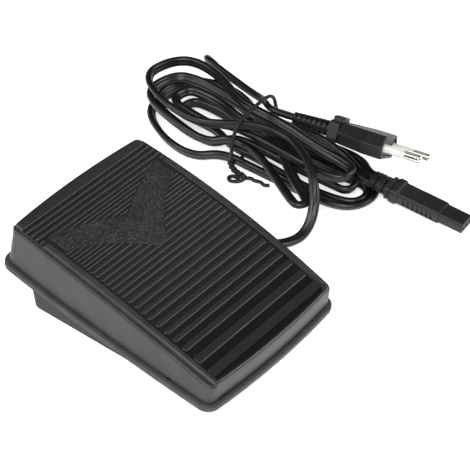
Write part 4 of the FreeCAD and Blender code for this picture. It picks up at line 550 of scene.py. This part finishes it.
def add_relief(node, origin, toward, width, length, tip, root, ring, bands, depth, gaps):
    """Tapered relief with rows of slots round it, shaped from a many-sided rod and set on its cord's line.

    A band of the rod has a slot on each side whose number, counted within half a turn, is in its gaps.
    """
    bpy.ops.mesh.primitive_cylinder_add(vertices=RELIEF_SIDES, radius=1, depth=length, end_fill_type="NGON",
                                        location=(0, 0, length / 2))
    relief = bpy.context.object
    relief.name = node + "_slotted"
    bpy.ops.object.transform_apply(location=True)
    bpy.ops.object.mode_set(mode="EDIT")
    pitch = (length - ring) / bands
    for i in range(bands):
        bpy.ops.mesh.select_all(action="SELECT")
        bpy.ops.mesh.bisect(plane_co=(0, 0, ring + pitch * i), plane_no=(0, 0, 1))
    bpy.ops.mesh.select_mode(type="FACE")
    bpy.ops.mesh.select_all(action="DESELECT")
    mesh = bmesh.from_edit_mesh(relief.data)
    for face in mesh.faces:
        band = round((face.calc_center_median().z - ring - pitch / 2) / pitch)
        side = round(math.degrees(math.atan2(face.normal.y, face.normal.x)) / (360 / RELIEF_SIDES) - 0.5)
        wanted = gaps[band % len(gaps)] if band >= 0 else ()
        face.select = abs(face.normal.z) < 0.5 and side % (RELIEF_SIDES // 2) in wanted
    for vertex in mesh.verts:
        share = vertex.co.z / length
        vertex.co.x *= tip[0] + (root[0] - tip[0]) * share
        vertex.co.y *= tip[1] + (root[1] - tip[1]) * share
    bmesh.update_edit_mesh(relief.data)
    bpy.ops.mesh.inset(thickness=SLOT_RIM, use_individual=False)
    bpy.ops.mesh.inset(thickness=SLOT_WALL, depth=-depth, use_individual=False)
    bpy.ops.object.mode_set(mode="OBJECT")
    axis = Vector(toward).normalized()
    across = square_to(Vector(width), axis)
    for vertex in relief.data.vertices:
        x, y, z = vertex.co
        vertex.co = metres(origin) + (across * x + axis.cross(across) * y + axis * z) * MM
    relief.data.update()
    relief.data.materials.append(finishes["plug_plastic"])
    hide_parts(node)
    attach(relief, "root")
    relief.select_set(False)
    finish_normals(relief)
    return relief


# Finishes

# Patches of tone, in millimetres, the detail of their noise and of the grain's, the part of a noise that is
# used, and the shares of a finish's roughness that the grain goes between
PATCH_SIZE = 9
PATCH_DETAIL = 4
GRAIN_DETAIL = 3
NOISE_USED = (0.3, 0.7)
GLOSS_SHARES = (0.9, 1.12)


def ranged(tree, value, start, end, low=0, high=1):
    """Output that goes from low to high while a value goes from start to end."""
    node = tree.nodes.new("ShaderNodeMapRange")
    node.inputs["From Min"].default_value = start
    node.inputs["From Max"].default_value = end
    node.inputs["To Min"].default_value = low
    node.inputs["To Max"].default_value = high
    tree.links.new(value, node.inputs["Value"])
    return node.outputs["Result"]


def finish_of(name, colour, roughness, grain, depth, mottle=0.25, metallic=0):
    """Finish with a fine grain, in millimetres, and slight patches of tone and gloss."""
    material = bpy.data.materials.new(name)
    material.use_nodes = True
    tree = material.node_tree
    shader = tree.nodes["Principled BSDF"]
    shader.inputs["Metallic"].default_value = metallic
    place = tree.nodes.new("ShaderNodeTexCoord")

    def noise(size, detail):
        node = tree.nodes.new("ShaderNodeTexNoise")
        node.inputs["Scale"].default_value = 1 / (size * MM)
        node.inputs["Detail"].default_value = detail
        tree.links.new(place.outputs["Object"], node.inputs["Vector"])
        return node

    patches = noise(PATCH_SIZE, PATCH_DETAIL)
    tone = tree.nodes.new("ShaderNodeValToRGB")
    tone.color_ramp.elements[0].position = NOISE_USED[0]
    tone.color_ramp.elements[1].position = NOISE_USED[1]
    tone.color_ramp.elements[0].color = (*[c * (1 - mottle) for c in colour], 1)
    tone.color_ramp.elements[1].color = (*[min(c * (1 + mottle), 1) for c in colour], 1)
    tree.links.new(patches.outputs["Fac"], tone.inputs["Fac"])
    tree.links.new(tone.outputs["Color"], shader.inputs["Base Color"])
    fine = noise(grain, GRAIN_DETAIL)
    glossiest, dullest = (roughness * share for share in GLOSS_SHARES)
    gloss = ranged(tree, fine.outputs["Fac"], *NOISE_USED, glossiest, min(dullest, 1))
    tree.links.new(gloss, shader.inputs["Roughness"])
    bump = tree.nodes.new("ShaderNodeBump")
    bump.inputs["Strength"].default_value = 1
    bump.inputs["Distance"].default_value = depth * MM
    tree.links.new(fine.outputs["Fac"], bump.inputs["Height"])
    tree.links.new(bump.outputs["Normal"], shader.inputs["Normal"])
    return material


# Treadle, as measured in the frame of its rim
RIM_SLOPE = 0.167
RIM_TILT = math.atan(RIM_SLOPE)
RIM_HEIGHT = 3.2
RIM_HALF_LENGTH = 60.6
RIM_UNDERSIDE_AT_HEEL = 6.0
RIM_MIDDLE_Y = RIM_HEIGHT / 2 * math.sin(RIM_TILT)
RIM_MIDDLE_Z = RIM_UNDERSIDE_AT_HEEL + RIM_HALF_LENGTH * math.sin(RIM_TILT)
TOP_AT_HEEL = 12.9
TOP_AT_MIDDLE = 21.4
TOP_AT_TOE = 23.3
TREAD_HALF_WIDTH = 37.8
# Matt walls and shoulders of the cover; their colour, paler than the tread's, is painted light
TREAD_MATT_PAINTED_LIGHT = dict(colour=(0.026, 0.026, 0.0265), roughness=0.42, grain=0.32, depth=0.018)
RIM_MATT = dict(colour=(0.042, 0.042, 0.0425), roughness=0.58, grain=0.32, depth=0.018)
TREAD_DARK = (0.015, 0.015, 0.0155)
TREAD_ROUGHNESS = 0.31
# Painted shade: the colour of the grooves' floors and of the low points of the chevron's grain
HOLLOW_PAINTED_SHADE = (0.003, 0.003, 0.003)

# How far inside and outside the tread's edge its finish fades into that of the walls, whose paler colour is
# painted light
SHOULDER_INSIDE = 0.8
SHOULDER_OUTSIDE = 0.4

# Relief of the tread: bars and chevron over the crowned top, the radii of their edges, how near its height
# an edge has to be to count, and how near it the grooves' floor has to be to take painted shade; a floor
# faces up by more than a share
PANEL_RISE = 1.5
TREAD_DEPTH = 0.8
BAR_EDGE_R = 0.42
CHEVRON_RISE = 1.05
CHEVRON_OUTER = [(0.0926, 0.1155), (0.4497, 0.3432), (1.0, 0.5198)]
CHEVRON_INNER = [(0.0, 0.4604), (0.3968, 0.5875), (1.0, 0.7096)]
CHEVRON_ARM_END = 0.9365
CHEVRON_EDGE_R = 0.15
BAR_EDGE_WITHIN = 0.2
CHEVRON_EDGE_WITHIN = 0.1
EDGE_SHARPER_THAN = 50
EDGE_SEGMENTS = 3
GROOVE_FLOOR_WITHIN = 0.15
GROOVE_FLOOR_FACES_UP = 0.8

# Grainy skin of the chevron, with painted shade on the low points of its grain
STIPPLE_COLUMNS = 220
STIPPLE_ROWS = 56
STIPPLE_MARGIN = 0.25
STIPPLE_LIFT = 0.03
STIPPLE_GRAIN = 1.3
STIPPLE_DEPTH = 0.9
STIPPLE_WALL = 0.3
STIPPLE_TALL = 0.2
STIPPLE_FINISH = dict(colour=(0.05, 0.05, 0.0505), roughness=0.36, grain=0.3, depth=0.01)

# Copies of CAD nodes: points nearer than this are joined, faces within this many degrees are flat, and edges
# under this many degrees are smooth
JOIN_WITHIN = 0.001
FLAT_WITHIN = 0.2
SMOOTH_UNDER = 30

# CAD nodes shown by a smoothly shaded copy: node, copy, body and material slot
SMOOTHED = [
    ("treadle_frame", "treadle_rim", "treadle", "treadle_plastic"),
    ("base_tub", "base_shell", "root", "base_plastic"),
    ("plug_body", "plug_grip", "root", "plug_plastic"),
    ("plug_pins", "plug_pin_pair", "root", "pin_nickel"),
    ("connector_body", "connector_grip", "root", "plug_plastic"),
    ("return_springs", "spring_pair", "root", "spring_steel"),
]

FINISHES = {
    "treadle_plastic": dict(colour=(0.022, 0.022, 0.0225), roughness=0.42, grain=0.32, depth=0.018),
    "base_plastic": dict(colour=(0.006, 0.006, 0.0062), roughness=0.55, grain=0.4, depth=0.02),
    "foot_rubber": dict(colour=(0.02, 0.02, 0.02), roughness=0.8, grain=0.3, depth=0.02),
    "zinc_steel": dict(colour=(0.62, 0.62, 0.6), roughness=0.32, grain=0.2, depth=0.004,
                       mottle=0.12, metallic=1),
    "spring_steel": dict(colour=(0.4, 0.4, 0.41), roughness=0.3, grain=0.2, depth=0.004,
                         mottle=0.2, metallic=1),
    "gear_plastic": dict(colour=(0.8, 0.78, 0.72), roughness=0.5, grain=0.5, depth=0.01, mottle=0.05),
    "component_plastic": dict(colour=(0.016, 0.016, 0.018), roughness=0.45, grain=0.25, depth=0.012),
    "board_laminate": dict(colour=(0.33, 0.22, 0.1), roughness=0.5, grain=0.3, depth=0.01, mottle=0.15),
    "heat_sink_metal": dict(colour=(0.75, 0.76, 0.78), roughness=0.35, grain=0.3, depth=0.006,
                            mottle=0.08, metallic=1),
    "capacitor_plastic": dict(colour=(0.72, 0.55, 0.08), roughness=0.35, grain=0.4, depth=0.006, mottle=0.08),
    "winding_copper": dict(colour=(0.6, 0.24, 0.09), roughness=0.25, grain=0.3, depth=0.004,
                           mottle=0.15, metallic=1),
    "resistor_ceramic": dict(colour=(0.5, 0.36, 0.22), roughness=0.5, grain=0.3, depth=0.01, mottle=0.12),
    "fuse_glass": dict(colour=(0.82, 0.85, 0.84), roughness=0.1, grain=0.6, depth=0.002, mottle=0.04),
    "terminal_plastic": dict(colour=(0.06, 0.24, 0.13), roughness=0.45, grain=0.3, depth=0.01, mottle=0.12),
    "cord_plastic": dict(colour=(0.004, 0.004, 0.0042), roughness=0.38, grain=0.3, depth=0.006),
    "plug_plastic": dict(colour=(0.006, 0.006, 0.0062), roughness=0.5, grain=0.3, depth=0.012),
    "tie_plastic": dict(colour=(0.003, 0.003, 0.003), roughness=0.62, grain=0.2, depth=0.01),
    "pin_nickel": dict(colour=(0.83, 0.82, 0.78), roughness=0.14, grain=0.5, depth=0.0004,
                       mottle=0.05, metallic=1),
    "contact_brass": dict(colour=(0.68, 0.5, 0.2), roughness=0.25, grain=0.3, depth=0.003,
                          mottle=0.1, metallic=1),
}
finishes = {slot: finish_of(slot, **values) for slot, values in FINISHES.items()}


def blend(tree, kind, socket, low, share):
    """Go from a value to what a socket of the finish had, by a share."""
    shader = tree.nodes["Principled BSDF"]
    had = shader.inputs[socket].links[0].from_socket
    mix = tree.nodes.new("ShaderNodeMix")
    mix.data_type = kind
    ends = [i for i in mix.inputs if i.name in ("A", "B") and i.enabled]
    ends[0].default_value = low
    tree.links.new(share, mix.inputs["Factor"])
    tree.links.new(had, ends[1])
    out = [o for o in mix.outputs if o.enabled][0]
    tree.links.new(out, shader.inputs[socket])


def paint_shade_in_hollows(tree):
    """Paint shade into a finish where its piece is marked as lying low: on the grooves' floors and in the
    grain.
    """
    unshaded_share = tree.nodes.new("ShaderNodeAttribute")
    unshaded_share.attribute_name = "unshaded_share"
    blend(tree, "RGBA", "Base Color", (*HOLLOW_PAINTED_SHADE, 1), unshaded_share.outputs["Fac"])


def tread_finish():
    """Cover finish: matt walls and shoulders paled by painted light, and a darker, glossier tread."""
    material = finish_of("treadle_cap_plastic", **TREAD_MATT_PAINTED_LIGHT)
    tree = material.node_tree
    place = tree.nodes["Texture Coordinate"]
    parts = tree.nodes.new("ShaderNodeSeparateXYZ")
    tree.links.new(place.outputs["Object"], parts.inputs["Vector"])
    sideways = tree.nodes.new("ShaderNodeMath")
    sideways.operation = "ABSOLUTE"
    tree.links.new(parts.outputs["X"], sideways.inputs[0])
    shoulder = ranged(tree, sideways.outputs[0], (TREAD_HALF_WIDTH - SHOULDER_INSIDE) * MM,
                      (TREAD_HALF_WIDTH + SHOULDER_OUTSIDE) * MM)
    # Painted light: the walls and shoulders keep their paler colour, the tread takes the darker one
    blend(tree, "RGBA", "Base Color", (*TREAD_DARK, 1), shoulder)
    blend(tree, "FLOAT", "Roughness", TREAD_ROUGHNESS, shoulder)
    # Painted shade on the floors of the grooves between the bars
    paint_shade_in_hollows(tree)
    return material


def skin_finish():
    """Finish of the chevron's skin, with painted shade down in its grain."""
    material = finish_of("chevron_skin_plastic", **STIPPLE_FINISH)
    paint_shade_in_hollows(material.node_tree)
    return material


# Treadle cover: the CAD mesh with its triangles joined, and the bars' edges rounded off

def in_rim(point):
    """Place of a point in the tilted frame of the rim, in millimetres."""
    x, y, z = (c / MM for c in point)
    y, z = y - RIM_MIDDLE_Y, z - RIM_MIDDLE_Z
    return x, y * math.cos(RIM_TILT) + z * math.sin(RIM_TILT), z * math.cos(RIM_TILT) - y * math.sin(RIM_TILT)


def top_height(y):
    """Height of the cover's crowned top over the rim's underside at a place along the rim."""
    k = y / RIM_HALF_LENGTH
    rise = (TOP_AT_TOE - TOP_AT_HEEL) / 2
    crown = (TOP_AT_TOE + TOP_AT_HEEL) / 2 - TOP_AT_MIDDLE
    return TOP_AT_MIDDLE + k * rise + k * k * crown


def merged_copy(node, name, body, slot):
    """Copy of a CAD node with its triangles joined into flat faces, shown in place of the node."""
    piece = bpy.data.objects.new(name, nodes[node].data.copy())
    bpy.context.scene.collection.objects.link(piece)
    bpy.context.view_layer.objects.active = piece
    piece.select_set(True)
    bpy.ops.mesh.customdata_custom_splitnormals_clear()
    bpy.ops.object.mode_set(mode="EDIT")
    bpy.ops.mesh.select_all(action="SELECT")
    bpy.ops.mesh.remove_doubles(threshold=JOIN_WITHIN * MM)
    bpy.ops.mesh.dissolve_limited(angle_limit=math.radians(FLAT_WITHIN))
    bpy.ops.object.mode_set(mode="OBJECT")
    piece.data.materials.clear()
    piece.data.materials.append(finishes[slot])
    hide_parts(node)
    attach(piece, body)
    piece.select_set(False)
    return piece


def finish_normals(piece):
    """Smooth shading that leaves the flat faces flat."""
    bpy.context.view_layer.objects.active = piece
    piece.select_set(True)
    bpy.ops.object.shade_smooth_by_angle(angle=math.radians(SMOOTH_UNDER))
    weighted = piece.modifiers.new("flat_faces", "WEIGHTED_NORMAL")
    weighted.keep_sharp = True
    bpy.ops.object.modifier_apply(modifier=weighted.name)
    piece.select_set(False)


def round_tread_edges(piece, rise, within, radius):
    """Round off the upper edges on the tread that stand near a height over the crowned top."""
    bpy.context.view_layer.objects.active = piece
    piece.select_set(True)
    bpy.ops.object.mode_set(mode="EDIT")
    bpy.ops.mesh.select_mode(type="EDGE")
    bpy.ops.mesh.select_all(action="DESELECT")
    mesh = bmesh.from_edit_mesh(piece.data)
    for edge in mesh.edges:
        if not edge.is_convex or edge.calc_face_angle() < math.radians(EDGE_SHARPER_THAN):
            continue
        _, y, height = in_rim((edge.verts[0].co + edge.verts[1].co) / 2)
        if rise - within < height - top_height(y) < rise + within:
            edge.select = True
    bmesh.update_edit_mesh(piece.data)
    bpy.ops.mesh.bevel(offset=radius * MM, segments=EDGE_SEGMENTS, affect="EDGES", clamp_overlap=False)
    bpy.ops.object.mode_set(mode="OBJECT")
    piece.select_set(False)


def pin_finish():
    """Nickel pins, satin and paler near the plug's face and polished toward their tips."""
    material = finish_of("plug_pin_nickel", **FINISHES["pin_nickel"])
    tree = material.node_tree
    shader = tree.nodes["Principled BSDF"]
    along = tree.nodes.new("ShaderNodeVectorMath")
    along.operation = "DOT_PRODUCT"
    along.inputs[1].default_value = Vector(PLUG_AXIS).normalized()
    tree.links.new(tree.nodes["Texture Coordinate"].outputs["Object"], along.inputs[0])
    front = metres(PLUG_FRONT).dot(Vector(PLUG_AXIS).normalized())
    fade = front + PIN_SATIN_TO * MM, front + (PIN_SATIN_TO + PIN_SATIN_FADES) * MM
    polish = ranged(tree, along.outputs["Value"], *fade, PIN_SATIN_ROUGHNESS, PIN_POLISHED_ROUGHNESS)
    tree.links.new(polish, shader.inputs["Roughness"])
    metal = ranged(tree, along.outputs["Value"], *fade, PIN_SATIN_METALLIC)
    tree.links.new(metal, shader.inputs["Metallic"])
    return material


def mark_grooves(piece):
    """Mark which faces stand above the grooves' floor between the bars, for the painted shade on that floor.
    """
    unshaded_share = piece.data.attributes.new("unshaded_share", "FLOAT", "FACE")
    for face in piece.data.polygons:
        _, y, height = in_rim(face.center)
        sunk = height - top_height(y) - (PANEL_RISE - TREAD_DEPTH)
        floor = abs(sunk) < GROOVE_FLOOR_WITHIN and face.normal.z > GROOVE_FLOOR_FACES_UP
        unshaded_share.data[face.index].value = 0 if floor else 1


def mark_grain(piece):
    """Mark how high each point of the chevron's skin stands in its grain, for painted shade on its low
    points.
    """
    unshaded_share = piece.data.attributes.new("unshaded_share", "FLOAT", "POINT")
    for vertex in piece.data.vertices:
        _, y, height = in_rim(vertex.co)
        risen = height - top_height(y) - CHEVRON_RISE - STIPPLE_LIFT
        unshaded_share.data[vertex.index].value = min(max(risen / STIPPLE_TALL, 0), 1)


def add_smooth_copies():
    """Show smoothly shaded copies in place of the CAD nodes with rounded edges."""
    for node, name, body, slot in SMOOTHED:
        finish_normals(merged_copy(node, name, body, slot))
    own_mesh(bpy.data.objects["spring_pair"])
    bpy.data.objects["plug_pin_pair"].data.materials[0] = pin_finish()
    bpy.data.objects["treadle_rim"].data.materials[0] = finish_of("treadle_rim_plastic", **RIM_MATT)


def add_cover():
    cover = merged_copy("treadle_cover", "treadle_cap", "treadle", "treadle_plastic")
    cover.data.materials[0] = tread_finish()
    round_tread_edges(cover, PANEL_RISE, BAR_EDGE_WITHIN, BAR_EDGE_R)
    round_tread_edges(cover, CHEVRON_RISE, CHEVRON_EDGE_WITHIN, CHEVRON_EDGE_R)
    mark_grooves(cover)
    finish_normals(cover)


def chevron_edge(share, corners):
    """Place along the rim of one of the chevron's curved edges, at a share of the tread's half width."""
    (x0, y0), (x1, y1), (x2, y2) = corners
    if share < x0:
        return y0
    # circle through the three corners, in millimetres
    points = [(x * TREAD_HALF_WIDTH, y * RIM_HALF_LENGTH) for x, y in corners]
    (ax, ay), (bx, by), (cx, cy) = points
    twice = 2 * (ax * (by - cy) + bx * (cy - ay) + cx * (ay - by))
    a2, b2, c2 = ax * ax + ay * ay, bx * bx + by * by, cx * cx + cy * cy
    ux = (a2 * (by - cy) + b2 * (cy - ay) + c2 * (ay - by)) / twice
    uy = (a2 * (cx - bx) + b2 * (ax - cx) + c2 * (bx - ax)) / twice
    radius = math.hypot(ax - ux, ay - uy)
    side = 1 if by > uy else -1
    x = share * TREAD_HALF_WIDTH
    return (uy + side * math.sqrt(max(radius * radius - (x - ux) ** 2, 0))) / RIM_HALF_LENGTH


def from_rim(x, y, height):
    """Place in the scene of a point given in the tilted frame of the rim."""
    return Vector((x, RIM_MIDDLE_Y + y * math.cos(RIM_TILT) - height * math.sin(RIM_TILT),
                   RIM_MIDDLE_Z + height * math.cos(RIM_TILT) + y * math.sin(RIM_TILT))) * MM


def add_stipple():
    """Leathery skin on the chevron, modelled as a crinkled sheet that is sunk into the cover at its edge."""
    bpy.ops.mesh.primitive_grid_add(x_subdivisions=STIPPLE_COLUMNS, y_subdivisions=STIPPLE_ROWS, size=2,
                                    location=(0, 0, 0))
    skin = bpy.context.object
    skin.name = "chevron_skin"
    for vertex in skin.data.vertices:
        across, along = vertex.co.x, (vertex.co.y + 1) / 2
        share = abs(across) * CHEVRON_ARM_END
        low = chevron_edge(share, CHEVRON_OUTER) * RIM_HALF_LENGTH + STIPPLE_MARGIN
        high = chevron_edge(share, CHEVRON_INNER) * RIM_HALF_LENGTH - STIPPLE_MARGIN
        y = low + (high - low) * along
        x = across * (CHEVRON_ARM_END * TREAD_HALF_WIDTH - STIPPLE_MARGIN)
        vertex.co = from_rim(x, y, top_height(y) + CHEVRON_RISE + STIPPLE_LIFT)
    grain = bpy.data.textures.new("leather_grain", "VORONOI")
    grain.noise_scale = STIPPLE_GRAIN * MM
    grain.weight_1, grain.weight_2 = -1, 1
    crinkle = skin.modifiers.new("crinkle", "DISPLACE")
    crinkle.texture = grain
    crinkle.texture_coords = "LOCAL"
    crinkle.mid_level = 0
    crinkle.strength = STIPPLE_DEPTH * MM
    wall = skin.modifiers.new("wall", "SOLIDIFY")
    wall.thickness = STIPPLE_WALL * MM
    wall.offset = -1
    for modifier in (crinkle, wall):
        bpy.ops.object.modifier_apply(modifier=modifier.name)
    bpy.ops.object.shade_smooth()
    mark_grain(skin)
    skin.data.materials.append(skin_finish())
    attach(skin, "treadle")
    skin.select_set(False)


def dress_nodes():
    """Give every CAD node the finish of its material slot."""
    for row in frame["record"]["subparts"]:
        node = nodes[row["node"]]
        node.data.materials.clear()
        node.data.materials.append(finishes[row["material_slot"]])


add_camera()
add_studio()
dress_nodes()
add_cover()
add_stipple()
add_smooth_copies()
plug_relief = add_relief("plug_relief", PLUG_FRONT, PLUG_AXIS, PLUG_ACROSS, **PLUG_RELIEF)
connector_relief = add_relief("connector_relief", CONNECTOR_START, CONNECTOR_AXIS, CONNECTOR_ACROSS,
                              **CONNECTOR_RELIEF)
add_cords()
add_tie()
